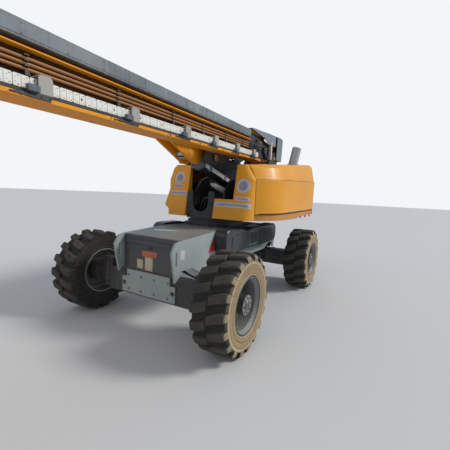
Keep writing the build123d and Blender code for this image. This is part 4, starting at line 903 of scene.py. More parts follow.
def hood_seal_and_crease_shade(side, name):
    """A rubber strip along a hood's foot and a dark strip of painted shade along its crease; both rise to the
    rear.
    """
    form = Form()
    tree = skin_of(name)
    foot = [(-0.0016, -0.009), (0.004, -0.008), (0.0052, -0.002), (0.004, 0.004), (-0.0016, 0.005)]
    # The crease's dark strip is painted shade, the line under the band above the crease.
    crease = [(-0.002, -0.006), (0.0035, -0.004), (0.0015, 0.003), (-0.002, 0.004)]
    # Front end, length, steps, height at the front, rise for each metre, section as out and up.
    strips = [(0.26, 2.02, 22, 1.352, 0.02, foot), (0.285, 2.07, 26, 1.812, 0.044, crease)]
    for front, length, steps, height, rise, section in strips:
        rows = []
        for i in range(steps + 1):
            x = front - length * i / steps
            z = height + rise * (HOOD_FRONT - x)
            hit = hit_from_side(tree, side, x, z)[0]
            if hit is not None:
                rows.append([(hit.x, hit.y + side * out, z + up) for out, up in section])
        form.skin(rows)
    # The piece holds the foot's seal and the crease's painted shade.
    piece(f"{name}_seal", name, SEAL_RUBBER, form)


def right_vents():
    """Slatted openings over the coolers, on the right hood."""
    frames, slats = Form(), Form()
    outer, inner = oblong(0.43, 0.23, 0.022, 5), oblong(0.38, 0.18, 0.012, 5)
    rings = [(outer, -0.004), (outer, 0.008), (inset(outer, 0.003), 0.010),
             (inset(inner, -0.002), 0.010), (inner, 0.008), (inner, -0.004)]
    for x in (-0.62, -1.12):
        place = on_right_hood(x, 1.66)
        slats.box(place, 0.40, 0.20, 0.003, 0.001, 0.010, 0.003)
        frames.skin([[(u, v, lift) for u, v in outline] for outline, lift in rings], place, True)
        for i in range(9):
            y = -0.080 + 0.020 * i
            section = [(y - 0.004, 0.001), (y + 0.006, 0.001), (y + 0.001, 0.009), (y - 0.002, 0.009)]
            slats.skin([[(end, v, lift) for v, lift in section] for end in (-0.192, 0.192)], place)
    piece("vent_frames", "hood_right", LATCH_PLASTIC, frames)
    piece("vent_slats", "hood_right", CLAMP_PLASTIC, slats)


def edge_reflectors():
    """Banded strips along the deck's edge below the hoods' rear ends."""
    form = Form()
    tree = skin_of("turntable_deck")
    section = [(-0.001, 1.250), (0.003, 1.250), (0.003, 1.309), (-0.001, 1.309)]
    for side in (1, -1):
        rows = []
        for i in range(13):
            hit = hit_from_side(tree, side, -0.93 - 0.84 * i / 12, 1.27)[0]
            rows.append([(hit.x, hit.y + side * out, z) for out, z in section])
        form.skin(rows)
    piece("edge_reflectors", "turntable", BANDED_FILM, form)


def tail_fittings():
    """Lamps and bolts, each with a dark patch of painted shade for its recess, and lifting eyes of the
    counterweight.
    """
    lamps, steel, recess_shade_patches = Form(), Form(), Form()
    tree = skin_of("counterweight")
    eye_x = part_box("counterweight")[0].x - SLEW_X + 0.16
    eye = [(0.034 + 0.011 * cos(b), 0.011 * sin(b)) for b in turns(10)]

    def on_tail(y, z):
        hit, normal = tree.ray_cast(spot(-4.0, y, z), Vector((1, 0, 0)))[:2]
        return placed(hit, Vector((0, 0, 1)).cross(-normal if normal.x > 0 else normal), (0, 0, 1))

    for side in (1, -1):
        lamp = on_tail(side * 0.78, 1.42)
        lamps.box(lamp, 0.15, 0.062, 0.014, 0.004, 0.02, 0.006)
        # Dark plate and discs: painted shade where each lamp and bolt sits in a recess.
        recess_shade_patches.box(lamp, 0.18, 0.09, 0.006, 0.002, 0.026, 0.006)
        for y in (0.30, 0.62):
            steel.bolt(on_tail(side * y, 1.74), 0.030)
            recess_shade_patches.turned([(-0.006, 0.058), (0.002, 0.058), (0.004, 0.054)], on_tail(side * y, 1.74), 28)
        foot = spot(eye_x, side * 0.42, 1.900)
        steel.ring(eye, shifted(placed(foot, (1, 0, 0), (0, 0, 1)), 0, 0.036, 0), 20)
        steel.turned([(-0.002, 0.036), (0.010, 0.036), (0.014, 0.030)],
                     placed(foot, (1, 0, 0), (0, 1, 0)), 20)
    piece("tail_lamps", "turntable", LAMP_LENS, lamps)
    piece("tail_bolts", "turntable", STEEL_BOLT, steel)
    piece("tail_recess_shade", "turntable", LATCH_PLASTIC, recess_shade_patches)


def cylinder_pipes():
    """Plated pipes clamped along the lift cylinder, drawn near white as a painted glint, and its gland ring.
    """
    pipes, clamps = Form(), Form()
    foot, axis = joint_at("lift_barrel_hinge"), Vector(JOINTS["lift_rod_slide"]["axis"])
    over = Vector((-axis.z, 0, axis.x))

    def on_barrel(reach, y, up):
        return foot + axis * reach + over * up + Vector((0, y, 0))

    for up in (-0.010, -0.042):
        pipes.bar(on_barrel(0.55, 0.113, up), on_barrel(1.60, 0.113, up), 0.0135)
    for reach in (0.62, 1.05, 1.48):
        place = plane(axis, over, (0, 1, 0), on_barrel(reach, 0.088, -0.026))
        clamps.box(place, 0.052, 0.084, 0.042, 0.004, 0.008)
        for up in (-0.033, 0.033):
            clamps.bolt(shifted(place, 0, up, 0.041), 0.008)
    gland = plane(over, (0, 1, 0), axis, on_barrel(1.60, 0, 0))
    clamps.turned([(0, 0.094), (0.004, 0.101), (0.078, 0.101), (0.082, 0.096)], gland, 40)
    piece("cylinder_pipes", "lift_barrel", GLINT_WHITE_PIPE, pipes)
    piece("cylinder_clamps", "lift_barrel", COVER_PAINT, clamps)


def turret_shade_plates():
    """Dark sheets bolted outside the turret's plates, up beside the foot of the boom: painted shade in the
    gap there.
    """
    form, bolts = Form(), Form()
    right = [(-0.34, 1.950), (-0.37, 2.195), (-0.46, 2.215), (-1.20, 2.235), (-1.38, 2.200), (-1.38, 2.060),
             (-0.50, 1.900)]
    left = [(-0.34, 1.950), (-0.37, 2.060), (-0.46, 2.100), (-1.16, 2.130), (-1.28, 2.110), (-1.28, 2.020),
            (-0.50, 1.900)]
    for side, outline in ((-1, right), (1, left)):
        wall = side_place(side, SLEW_X, TURRET_OUT, 0)
        form.plate(outline, wall, 0.005, 0.0015)
        for x, z in ((-0.45, 1.950), (-0.72, 1.975), (-0.98, 2.020), (-1.20, 2.060)):
            bolts.bolt(shifted(wall, x, z, 0.0045), 0.009)
    piece("turret_shade_plates", "turntable", DARK_PAINT, form)
    piece("turret_shade_plate_bolts", "turntable", STEEL_BOLT, bolts)


def turret_insides():
    """Pale guide arm beside the cylinder, caps over its foot's pin and hoses down to the ring."""
    arm, caps = Form(), Form()
    outline = [(0.440, 1.738), (0.400, 1.700), (0.060, 1.600),
               (-0.080, 1.580), (-0.080, 1.652), (0.02, 1.668)]
    arm.plate(outline, placed(spot(0, 0.222, 0), (1, 0, 0), (0, 0, 1)), 0.072, 0.003)
    # The arm's near-white is partly painted sunlight.
    piece("guide_arm", "turntable", SUNLIT_WHITE_PAINT, arm)
    pin, radius = joint_at("lift_barrel_hinge"), 0.047
    for side in (1, -1):
        cap = plane((side, 0, 0), (0, 0, 1), (0, side, 0), (pin.x, side * TURRET_OUT, pin.z))
        caps.turned([(-0.001, radius * 1.5), (0.008, radius * 1.5), (0.012, radius * 1.4)], cap, 32)
        for a in (0.5, 2.6, 4.7):
            caps.bolt(shifted(cap, radius * cos(a), radius * sin(a), 0.011), 0.010)
    piece("pin_caps", "turntable", STEEL_BOLT, caps)
    routes = []
    for i, y in enumerate((-0.13, -0.09, -0.05, 0.03, 0.08)):
        routes.append([spot(0.25 - 0.03 * i, y, 1.315), spot(0.24 - 0.03 * i, y, 1.42),
                       spot(0.16 - 0.05 * i, y * 0.9, 1.53 + 0.015 * i), spot(-0.10, y * 0.8, 1.575),
                       spot(-0.35, y * 0.8, 1.585), spot(-0.62, y, 1.50), spot(-0.80, y, 1.38),
                       spot(-0.86, y, 1.316)])
    bent_lines("turret_lines", "turntable", routes, 0.013)


panel_stickers()
guard_plate()
hood_seal_and_crease_shade(1, "hood_left")
right_latches()
hood_seal_and_crease_shade(-1, "hood_right")
right_vents()
edge_reflectors()
tail_fittings()
cylinder_pipes()
turret_shade_plates()
turret_insides()


# Chassis: blank plates and stickers, bolts, covers of the pods

COVER_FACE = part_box("end_covers")[1].x - SLEW_X - 0.014
BUMPER_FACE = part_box("bumpers")[1].x - SLEW_X
FRAME_SIDE, FRAME_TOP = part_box("chassis_frame")[1].yz
POD_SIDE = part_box("side_pods")[1].y
RING_BOLTS = 0.457


def chassis_signs():
    """Blank plates on the front cover, and labels, red signs and a faded strip on the frame."""
    orange, beige, white, red, strip = Form(), Form(), Form(), Form(), Form()
    face = upright(spot(COVER_FACE, 0, 0))
    orange.box(shifted(face, -0.010, 0.862, 0), 0.225, 0.066, 0.0015, 0.0005, 0.004)
    rivet = [(0.002, 0.0042), (0.0038, 0.0036), (0.0042, 0.002)]
    for y, z, width, height in [(-0.155, 0.730, 0.092, 0.110), (-0.016, 0.745, 0.118, 0.158)]:
        beige.box(shifted(face, y, z, 0), width, height, 0.0022, 0.0006, 0.008)
        for sy, sz in ((-1, -1), (1, -1), (-1, 1), (1, 1)):
            corner = shifted(face, y + sy * (width / 2 - 0.008), z + sz * (height / 2 - 0.008), 0)
            beige.turned(rivet, corner, 10)
    for side in (1, -1):
        wall = placed(spot(0, side * FRAME_SIDE, 0), (-side, 0, 0), (0, 0, 1))
        white.box(shifted(wall, -side * 1.395, 0.915, 0), 0.072, 0.100, 0.0015, 0.0005, 0.006)
        sign = [(-side * x, z) for x, z in ((0.560, 0.862), (0.880, 0.862), (0.760, 1.030), (0.640, 1.030))]
        red.plate(sign if side < 0 else sign[::-1], wall, 0.002, 0.001)
    piece("tail_label", "chassis", ORANGE_FILM, orange)
    piece("blank_plates", "chassis", BEIGE_PLATE, beige)
    piece("white_labels", "chassis", PALE_FILM, white)
    piece("red_triangles", "chassis", RED_FILM, red)
    outline = [(-0.30, -1.03), (0.02, -0.94), (0.02, -0.98), (-0.27, -1.08)]
    laid(strip, "chassis_frame", outline, placed(spot(0, 0, 1.2), (0, 1, 0), (-1, 0, 0)), 0.4, 0.001)
    piece("faded_strip", "chassis", FADED_FILM, strip)


def chassis_bolts():
    """Bolts of the end covers, bumper plates and slewing ring, the covers' latches and the bumpers' rings."""
    steel, dark = Form(), Form()
    lashing_ring = [(0.0205, -0.001), (0.0205, 0.004), (0.024, 0.006), (0.030, 0.004), (0.031, -0.001)]
    for end in (1, -1):
        cover = upright(spot(end * COVER_FACE, 0, 0), (end, 0, 0))
        spots = [(y, z) for y in (-0.385, 0.385) for z in (0.665, 0.80, 0.93)]
        for y, z in spots + [(-0.20, 0.655), (0.20, 0.655)]:
            steel.bolt(shifted(cover, y, z, 0), 0.011)
        dark.box(shifted(cover, 0.0, 0.935, 0), 0.058, 0.030, 0.006, 0.002, 0.01)
        bumper = upright(spot(end * BUMPER_FACE, 0, 0), (end, 0, 0))
        for y in (-0.30, -0.10, 0.10, 0.30):
            for z in (0.585, 0.415):
                steel.bolt(shifted(bumper, y, z, 0), 0.014)
        for y in (0.370, -0.370):
            steel.ring(lashing_ring, shifted(bumper, y, 0.480, 0), 28)
    for a in turns(30, pi / 30):
        out = Vector((cos(a), sin(a), 0))
        steel.bolt(placed(spot(0, 0, FRAME_TOP) + out * RING_BOLTS, out, (-sin(a), cos(a), 0)), 0.014)
    piece("chassis_bolts", "chassis", STEEL_BOLT, steel)
    piece("cover_latches", "chassis", LATCH_PLASTIC, dark)


def pod_details():
    """Lids with their latches and bolts, treads on top, and a green frame on the left pod."""
    lids, treads, green = Form(), Form(), Form()
    for side in (1, -1):
        wall = side_place(side, SLEW_X, POD_SIDE, 0)
        for x, width in ((0.35, 0.48), (-0.62, 0.60)):
            lids.box(shifted(wall, x, 0.965, 0), width, 0.20, 0.006, 0.003, 0.035, 0.002)
            lids.box(shifted(wall, x, 0.895, 0.006), 0.085, 0.030, 0.007, 0.003, 0.012)
            for across in (0.04 - width / 2, width / 2 - 0.04):
                lids.bolt(shifted(wall, x + across, 1.040, 0.005), 0.009)
        for i in range(9):
            tread = placed(spot(-0.46 - 0.055 * i, side * 0.530, 1.130), (1, 0, 0), (0, 1, 0))
            treads.box(tread, 0.020, 0.11, 0.0035, 0.0015, 0.006, 0.001)
    wall = side_place(1, SLEW_X, POD_SIDE, 0)
    for x, z, width, height in ((-0.110, 1.070, 0.330, 0.014), (-0.110, 0.874, 0.330, 0.014),
                                (-0.268, 0.972, 0.014, 0.210), (0.048, 0.972, 0.014, 0.210)):
        green.box(shifted(wall, x, z, 0), width, height, 0.0015, 0.0005, 0.004)
    piece("green_frame", "chassis", GREEN_FILM, green)
    piece("pod_lids", "chassis", POD_PAINT, lids)
    piece("pod_treads", "chassis", LATCH_PLASTIC, treads)


def axle_lines():
    """Three brake and steering lines to each wheel, along the axles' inner sides."""
    routes = []
    for end in (1, -1):
        for side in (1, -1):
            for i, off in enumerate((-0.03, 0.0, 0.03)):
                # Distance from the axle inwards, share of the line's own offset, to the side, height.
                points = [(0.05, 1.0, 0.08, 0.755), (0.13, 1.0, 0.16, 0.74), (0.17, 0.5, 0.30, 0.66),
                          (0.145, 0.3, 0.46, 0.622 + 0.008 * i), (0.12, 1.0, 0.60, 0.62)]
                routes.append([spot(end * (AXLE_X - inward) + off * share, side * y, z)
                               for inward, share, y, z in points])
    bent_lines("axle_lines", "chassis", routes, 0.010)


def axle_castings():
    """Bolts of the axles' pads, and the drive motors on the rear axle."""
    form = Form()
    for end in (1, -1):
        for side in (1, -1):
            for y in (-0.15, 0.15):
                for along in (0.07, -0.07):
                    pad = spot(end * AXLE_X + along, side * 0.33 + y, 0.620)
                    form.bolt(placed(pad, (1, 0, 0), (0, 1, 0)), 0.016)
    for side in (1, -1):
        motor = upright(spot(-AXLE_X + 0.100, side * 0.30, 0.48))
        form.turned([(-0.002, 0.085), (0.012, 0.085), (0.016, 0.080)], motor, 28)
        form.turned([(0.014, 0.062), (0.105, 0.062), (0.112, 0.056)], motor, 28)
        for a in turns(4, pi / 4):
            form.bolt(shifted(motor, 0.073 * cos(a), 0.073 * sin(a), 0.015), 0.010)
    piece("axle_castings", "chassis", AXLE_PAINT, form)


chassis_signs()
chassis_bolts()
pod_details()
axle_lines()
axle_castings()


# Boom: tray's shade strip and bolts, duct lids, pipe nuts, tail block with its hoses, collars of the sections

# All places along the boom count from its pivot.
TRAY_JOINTS = [1.86, 2.41, 2.93, 3.44, 4.09, 4.74, 5.39, 6.04, 6.69, 7.34]
STATIONS = [1.45, 2.01, 2.59, 3.16, 3.88, 4.60, 5.32, 6.04, 6.76, 7.48]
PIPE_ROWS = [0.076, 0.109, 0.142]
PIPE_Y = 0.252
BASE_END, MID_END = 8.33, 8.58
TRAY_START, TRAY_END = 1.205, 8.125
TRAY_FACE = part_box("chain_tray")[1].y
WEB_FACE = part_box("chain_tray")[0].y
MID_SIDE = 0.190
LIP_BACK = TRAY_FACE - 0.0108
COVER_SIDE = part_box("boom_rear_cover")[1].y


def tray_details():
    """Dark strip of painted shade under the chain, the tray's bright lower edge, its joint rivets and the
    guides' bolts.
    """
    gap_shade_strip, edge, bolts = Form(), Form(), Form()
    middle_x, length = (TRAY_START + TRAY_END) / 2, TRAY_END - TRAY_START
    # A dark rubber strip as painted shade, in the gap between the chain and the tray's lip.
    gap_shade_strip.box(boom_place(middle_x, LIP_BACK, -0.1125), length, 0.022, 0.0038, 0.0012)
    edge.box(boom_place(middle_x, LIP_BACK, -0.1350), length, 0.021, 0.0042, 0.0012)
    piece("tray_edge", "boom", BOOM_EDGE, edge)
    for x in TRAY_JOINTS:
        tab = boom_place(x, TRAY_FACE, -0.139)
        bolts.turned([(-0.001, 0.0085), (0.0018, 0.0085), (0.0024, 0.007)], tab, 14)
        bolts.turned([(0.0016, 0.0055), (0.0052, 0.0055), (0.006, 0.0045)], tab, 6)
    for x in STATIONS:
        for along in (-0.026, 0.026):
            bolts.bolt(boom_place(x + along, TRAY_FACE + 0.006, -0.128), 0.0065)
    piece("tray_gap_shade", "boom", SEAL_RUBBER, gap_shade_strip)
    piece("tray_bolts", "boom", LATCH_PLASTIC, bolts)


def guides():
    """At each station a clipped plate over the chain, its dark foot with a long skid, and a roller block."""
    plates, feet, blocks = Form(), Form(), Form()
    outline = [(-0.044, -0.112), (0.044, -0.112), (0.044, -0.018),
               (0.030, 0.0), (-0.030, 0.0), (-0.044, -0.018)]
    foot = [(-0.030, -0.146), (0.060, -0.146), (0.200, -0.140),
            (0.200, -0.134), (0.060, -0.110), (-0.030, -0.110)]
    for x in STATIONS:
        plates.plate(outline, boom_place(x, TRAY_FACE, 0), 0.006, 0.0015)
        plates.box(boom_top(x, TRAY_FACE - 0.0695, -0.012), 0.088, 0.141, 0.006, 0.0015)
        feet.plate(foot, boom_place(x, TRAY_FACE + 0.0005, 0), 0.0048, 0.0012)
        blocks.box(boom_place(x + 0.079, TRAY_FACE + 0.0005, -0.095), 0.070, 0.040, 0.0290, 0.003, 0.008)
        roller = boom_place(x + 0.079, TRAY_FACE + 0.0290, -0.095)
        blocks.turned([(-0.002, 0.019), (0.0010, 0.019), (0.0012, 0.010)], roller, 20)
    piece("guide_plates", "boom", GUIDE_PAINT, plates, ["chain_guides"])
    piece("guide_feet", "boom", DARK_PAINT, feet)
    piece("guide_blocks", "boom", BLOCK_PAINT, blocks)


def duct_lids():
    """Lids and screws of the duct along the boom's shoulder, on its side and its top."""
    lids, screws = Form(), Form()
    start, count = 1.24, 6
    length = (BASE_END - start) / count
    for i in range(count):
        middle_x = start + (i + 0.5) * length
        lids.box(boom_place(middle_x, 0.300, 0.2905), length - 0.006, 0.085, 0.0022, 0.001, 0.004, 0.001)
        lids.box(boom_top(middle_x, 0.265, 0.346), length - 0.006, 0.062, 0.0022, 0.001, 0.004, 0.001)
        for x in (middle_x + (k - 1.5) * length / 4 for k in range(4)):
            for up in (0.262, 0.320):
                screws.turned([(-0.001, 0.005), (0.0018, 0.005), (0.0026, 0.0035)],
                              boom_place(x, 0.302, up), 10)
    piece("duct_lids", "boom", DUCT_PAINT, lids)
    piece("duct_screws", "boom", DUCT_PAINT, screws)


def pipe_nuts():
    """Union nuts at both ends of the three pipes."""
    form = Form()
    for x in (1.262, BASE_END - 0.09):
        for z in PIPE_ROWS:
            place = plane((0, 1, 0), ABOVE_BOOM, ALONG_BOOM, on_boom(x, PIPE_Y, z))
            form.turned([(-0.014, 0.0135), (-0.012, 0.0155), (0.012, 0.0155), (0.014, 0.0135)], place, 6, 0.2)
    piece("pipe_nuts", "boom", BRASS, form)


def tail_block():
    """Valve blocks on the boom's side in the rear cover, on a sheet of painted shade, with brass fittings and
    hoses.
    """
    blocks, brass, painted_shade_sheet = Form(), Form(), Form()
    # A dark sheet on the web: painted shade inside the rear cover.
    painted_shade_sheet.box(boom_place(0.74, WEB_FACE + 0.001, 0.150), 0.86, 0.360, 0.004, 0.001, 0.012)
    blocks.box(boom_place(0.80, WEB_FACE + 0.004, 0.170), 0.20, 0.150, 0.040, 0.004, 0.008)
    blocks.box(boom_place(0.53, WEB_FACE + 0.004, 0.110), 0.13, 0.11, 0.046, 0.004, 0.008)
    ports = [(0.735, 0.215), (0.785, 0.215), (0.835, 0.215), (0.735, 0.165), (0.785, 0.165), (0.835, 0.165),
             (0.76, 0.120), (0.82, 0.120)]
    for i, (x, z) in enumerate(ports):
        place = boom_place(x, WEB_FACE + 0.043, z)
        brass.turned([(-0.001, 0.016), (0.009, 0.016), (0.011, 0.014)], place, 6, 0.1 * i)
        brass.turned([(0.009, 0.011), (0.020, 0.011), (0.021, 0.010)], place, 16)
    for x, z in ((0.51, 0.13), (0.55, 0.13), (0.51, 0.09), (0.55, 0.09)):
        plug = [(-0.001, 0.013), (0.007, 0.013), (0.012, 0.011), (0.016, 0.011), (0.017, 0.009)]
        brass.turned(plug, boom_place(x, WEB_FACE + 0.049, z), 14)
    piece("tail_painted_shade", "boom", DARK_PAINT, painted_shade_sheet)
    piece("tail_valves", "boom", LATCH_PLASTIC, blocks)
    piece("tail_brass", "boom", BRASS, brass)
    bent_lines("tail_lines", "boom", port_hoses(ports) + looped_hoses(), 0.0095)


def port_hoses(ports):
    """From each port forward: the first three on to the pipes, the others down behind the tray."""
    routes = []
    for i, (x, z) in enumerate(ports):
        drop = 0.018 * (i % 4)
        row = PIPE_ROWS[i % 3]
        route = [on_boom(x, 0.285, z), on_boom(x, 0.299 if i % 2 else 0.296, z),
                 on_boom(x + 0.07, 0.300, z - 0.02 - drop * 0.3), on_boom(x + 0.17, 0.294, z - 0.045),
                 on_boom(x + 0.27, 0.270, row + 0.004 * i)]
        if i < 3:
            route += [on_boom(1.16, 0.256, row), on_boom(1.265, 0.252, row)]
        else:
            low = 0.06 - 0.03 * (i - 3) % 0.12
            route += [on_boom(x + 0.33, 0.246, low), on_boom(x + 0.36, 0.236, 0.05)]
        routes.append(route)
    return routes


def looped_hoses():
    """From the smaller block down, back and up inside the rear cover."""
    routes = []
    for i in range(5):
        y = 0.262 + 0.012 * (i % 3)
        routes.append([on_boom(0.53 - 0.02 * i, 0.262, 0.06), on_boom(0.52 - 0.02 * i, y, 0.0),
                       on_boom(0.46 - 0.03 * i, y, -0.05), on_boom(0.36, y - 0.01, 0.02 * i),
                       on_boom(0.30 - 0.02 * i, 0.25, 0.12 + 0.03 * i),
                       on_boom(0.26, 0.236, 0.22 + 0.02 * i)])
    return routes


def hose_pan():
    """Dark pan under the boom behind its hung plates, with the hoses that it carries."""
    form = Form()
    outline = [(1.130, -0.047), (1.580, -0.047), (1.580, -0.225),
               (1.480, -0.235), (1.250, -0.150), (1.130, -0.085)]
    for side in (1, -1):
        form.plate(outline, boom_place(0, side * 0.178, 0, side), 0.008, 0.002)
    form.box(boom_top(1.36, 0, -0.0555), 0.40, 0.352, 0.008)
    piece("hose_pan", "boom", DARK_PAINT, form)
    routes = []
    for i, y in enumerate((-0.15, -0.10, -0.05, 0.0, 0.05, 0.10, 0.15)):
        routes.append([on_boom(1.60, y, -0.080 - 0.03 * (i % 2)), on_boom(1.48, y, -0.120 - 0.03 * (i % 3)),
                       on_boom(1.34, y, -0.115), on_boom(1.20, y, -0.075), on_boom(1.10, y * 0.95, -0.058)])
    bent_lines("pan_lines", "boom", routes, 0.0105)


def boom_pins():
    """Brass bushes of the plates under the boom, caps of the lift lug and bolts along the underside."""
    brass, steel, caps = Form(), Form(), Form()
    for side in (1, -1):
        boss = boom_place(2.176, side * 0.210, -0.207, side)
        brass.turned([(-0.001, 0.046), (0.014, 0.046), (0.018, 0.041), (0.018, 0.026), (0.006, 0.023)],
                     boss, 30)
        eye = side_place(side, SLEW_X + 0.860, 0.098, 2.100)
        caps.turned([(-0.001, 0.040), (0.006, 0.040), (0.008, 0.036)], eye, 32)
        caps.bolt(shifted(eye, 0, 0, 0.006), 0.011)
        for x in (1.62, 1.80, 2.36):
            steel.bolt(boom_place(x, side * 0.200, -0.075, side), 0.013)
    piece("boss_bushes", "boom", BRASS, brass)
    piece("lug_caps", "boom", BOOM_EDGE, caps)
    piece("boom_bolts", "boom", STEEL_BOLT, steel)


def collar(name, body, end, half, low, high, depth):
    """Bolted collar round the mouth of a boom section."""
    form, bolts = Form(), Form()
    proud = 0.010
    back, middle_z, height = end - depth / 2, (low + high) / 2, high - low
    for side in (1, -1):
        form.box(boom_place(back - 0.004, side * half, middle_z, side), depth, height - 0.012, proud, 0.003)
        for along in (-0.30 * depth, 0.30 * depth):
            for up in (-0.36, -0.12, 0.12, 0.36):
                bolts.bolt(boom_place(back + along, side * (half + proud), middle_z + up * height, side),
                           0.010)
    for z, sign in ((high, 1), (low, -1)):
        place = boom_top(back - 0.004, 0, z, sign)
        form.box(place, depth, 2 * half - 0.012, proud, 0.003)
        for across in (-0.8, -0.4, 0.0, 0.4, 0.8):
            for along in (-0.30 * depth, 0.30 * depth):
                bolts.bolt(shifted(place, along, across * half, proud), 0.010)
    piece(f"{name}_collar", body, BOOM_PAINT, form)
    piece(f"{name}_collar_bolts", body, STEEL_BOLT, bolts)


def tail_sheets():
    """Pale post in the opening of the rear cover, with the folded sheet above it that shields the hoses."""
    form = Form()
    outline = [(-1.050, 2.602), (-1.230, 2.630), (-1.446, 2.632),
               (-1.446, 2.560), (-1.290, 2.556), (-1.120, 2.570)]
    wall = side_place(1, SLEW_X, COVER_SIDE - 0.008, 0)
    form.plate(outline, wall, 0.005, 0.0015)
    form.box(shifted(wall, -1.4625, 2.455, 0.0072), 0.030, 0.330, 0.004, 0.0012)
    form.box(upright(spot(-1.445, 0.279, 2.450)), 0.040, 0.320, 0.004, 0.0012)
    for z in (2.34, 2.46, 2.58):
        form.bolt(shifted(wall, -1.4625, z, 0.0110), 0.008)
    # Their near-white is painted sunlight on parts in the cover's grey.
    piece("tail_sheets", "boom", SUNLIT_WHITE_PAINT, form)


def cover_screws():
    """Screws round both sides of the rear cover."""
    form = Form()
    for side in (1, -1):
        for x, z in [(-1.60, 2.60), (-1.35, 2.62), (-1.10, 2.66), (-0.85, 2.66), (-1.95, 2.45), (-1.95, 2.60),
                     (-1.95, 2.72)]:
            form.bolt(side_place(side, SLEW_X + x, COVER_SIDE, z), 0.008)
    piece("cover_screws", "boom", STEEL_BOLT, form)


tray_details()
guides()
duct_lids()
pipe_nuts()
tail_block()
hose_pan()
boom_pins()
collar("base", "boom", BASE_END, WEB_FACE, -0.047, 0.373, 0.15)
collar("mid", "boom_mid", MID_END, MID_SIDE, -0.007, 0.333, 0.11)
tail_sheets()
cover_screws()


# Platform and jib: controls, tread of the floor, latch, lines and pins

RAIL_LOW, RAIL_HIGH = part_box("platform_rails")
CONSOLE_LOW, CONSOLE_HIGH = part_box("platform_console")
GATE_LOW, GATE_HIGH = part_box("platform_gate")
DECK_Z = RAIL_LOW.z
RAIL_TUBE = 0.038
DESK_FOOT = Vector((CONSOLE_LOW.x, 0, CONSOLE_HIGH.z - 0.120))
DESK_TOP = Vector((CONSOLE_LOW.x + 0.170, 0, CONSOLE_HIGH.z))
DESK_UP = (DESK_TOP - DESK_FOOT).normalized()
DESK_OUT = Vector((-DESK_UP.z, 0, DESK_UP.x))
DESK_LENGTH = (DESK_TOP - DESK_FOOT).length
ARM_FOOT, ARM_END = joint_at("jib_lift"), joint_at("jib_end_hinge")
ARM_RUN = (ARM_END - ARM_FOOT).normalized()
ABOVE_ARM = Vector((-ARM_RUN.z, 0, ARM_RUN.x))
ARM_HALF, ARM_TOP = 0.060, 0.045


def on_desk(y, up):
    """Place on the console's sloping face, up counted from its lower edge."""
    return upright(DESK_FOOT + DESK_UP * up + Vector((0, y, 0)), DESK_OUT, DESK_UP)


def console_controls():
    """Face plate, two sticks with bellows, a stop button, key switch, rocker switches, lamps and a lid."""
    plate, rubber, red, steel, pale = Form(), Form(), Form(), Form(), Form()
    plate.box(on_desk(0, DESK_LENGTH / 2), 0.520, DESK_LENGTH - 0.020, 0.004, 0.0015, 0.014)
    bellows = [(0.003, 0.036), (0.010, 0.037), (0.012, 0.028), (0.020, 0.031), (0.022, 0.022), (0.029, 0.025),
               (0.031, 0.015), (0.038, 0.012)]
    stick = [(0.034, 0.0105), (0.070, 0.0125), (0.090, 0.0165),
             (0.118, 0.0175), (0.128, 0.014), (0.131, 0.008)]
    for y in (-0.190, 0.190):
        boot = on_desk(y, 0.105)
        rubber.turned(bellows, boot, 24)
        rubber.turned(stick, boot, 20)
        steel.turned([(0.0035, 0.041), (0.0065, 0.041), (0.007, 0.037)], boot, 28)
    stop = on_desk(0.0, 0.152)
    pale.turned([(0.0035, 0.030), (0.0055, 0.030), (0.006, 0.028)], stop, 32)
    button = [(0.004, 0.013), (0.020, 0.013), (0.021, 0.0205),
              (0.030, 0.0215), (0.036, 0.018), (0.038, 0.008)]
    red.turned(button, stop, 32)
    key = on_desk(0.088, 0.150)
    steel.turned([(0.0035, 0.013), (0.0085, 0.013), (0.0095, 0.011)], key, 24)
    steel.box(shifted(key, 0, 0.002, 0.008), 0.003, 0.020, 0.022, 0.001, 0.0014)
    for i, y in enumerate((-0.095, -0.060, -0.025, 0.025, 0.060, 0.095)):
        rubber.box(on_desk(y, 0.060), 0.022, 0.036, 0.0075, 0.0015, 0.004, 0.003)
        rocker = shifted(on_desk(y, 0.067 - 0.012 * (i % 2)), 0, 0, 0.006)
        rubber.box(rocker, 0.016, 0.014, 0.006, 0.0015, 0.003)
    for y in (-0.110, -0.085, -0.060):
        red.turned([(0.0035, 0.006), (0.007, 0.0055), (0.0085, 0.003)], on_desk(y, 0.150), 16)
    for y in (-0.248, 0.248):
        for up in (0.018, DESK_LENGTH - 0.018):
            steel.bolt(shifted(on_desk(y, up), 0, 0, 0.0035), 0.006)
    lid = upright((CONSOLE_LOW.x, 0, CONSOLE_LOW.z + 0.115), (-1, 0, 0))
    plate.box(lid, 0.46, 0.160, 0.004, 0.0015, 0.016)
    for y in (-0.205, 0.205):
        for up in (-0.062, 0.062):
            steel.bolt(shifted(lid, y, up, 0.0035), 0.006)
    pale.box(shifted(lid, 0.0, 0.0, 0.0035), 0.180, 0.095, 0.0012, 0.0004, 0.006)
    piece("console_plates", "platform", DARK_PAINT, plate)
    piece("console_sticks", "platform", LATCH_PLASTIC, rubber)
    piece("console_buttons", "platform", RED_FILM, red)
    piece("console_steel", "platform", STEEL_BOLT, steel)
    piece("console_labels", "platform", PALE_FILM, pale)


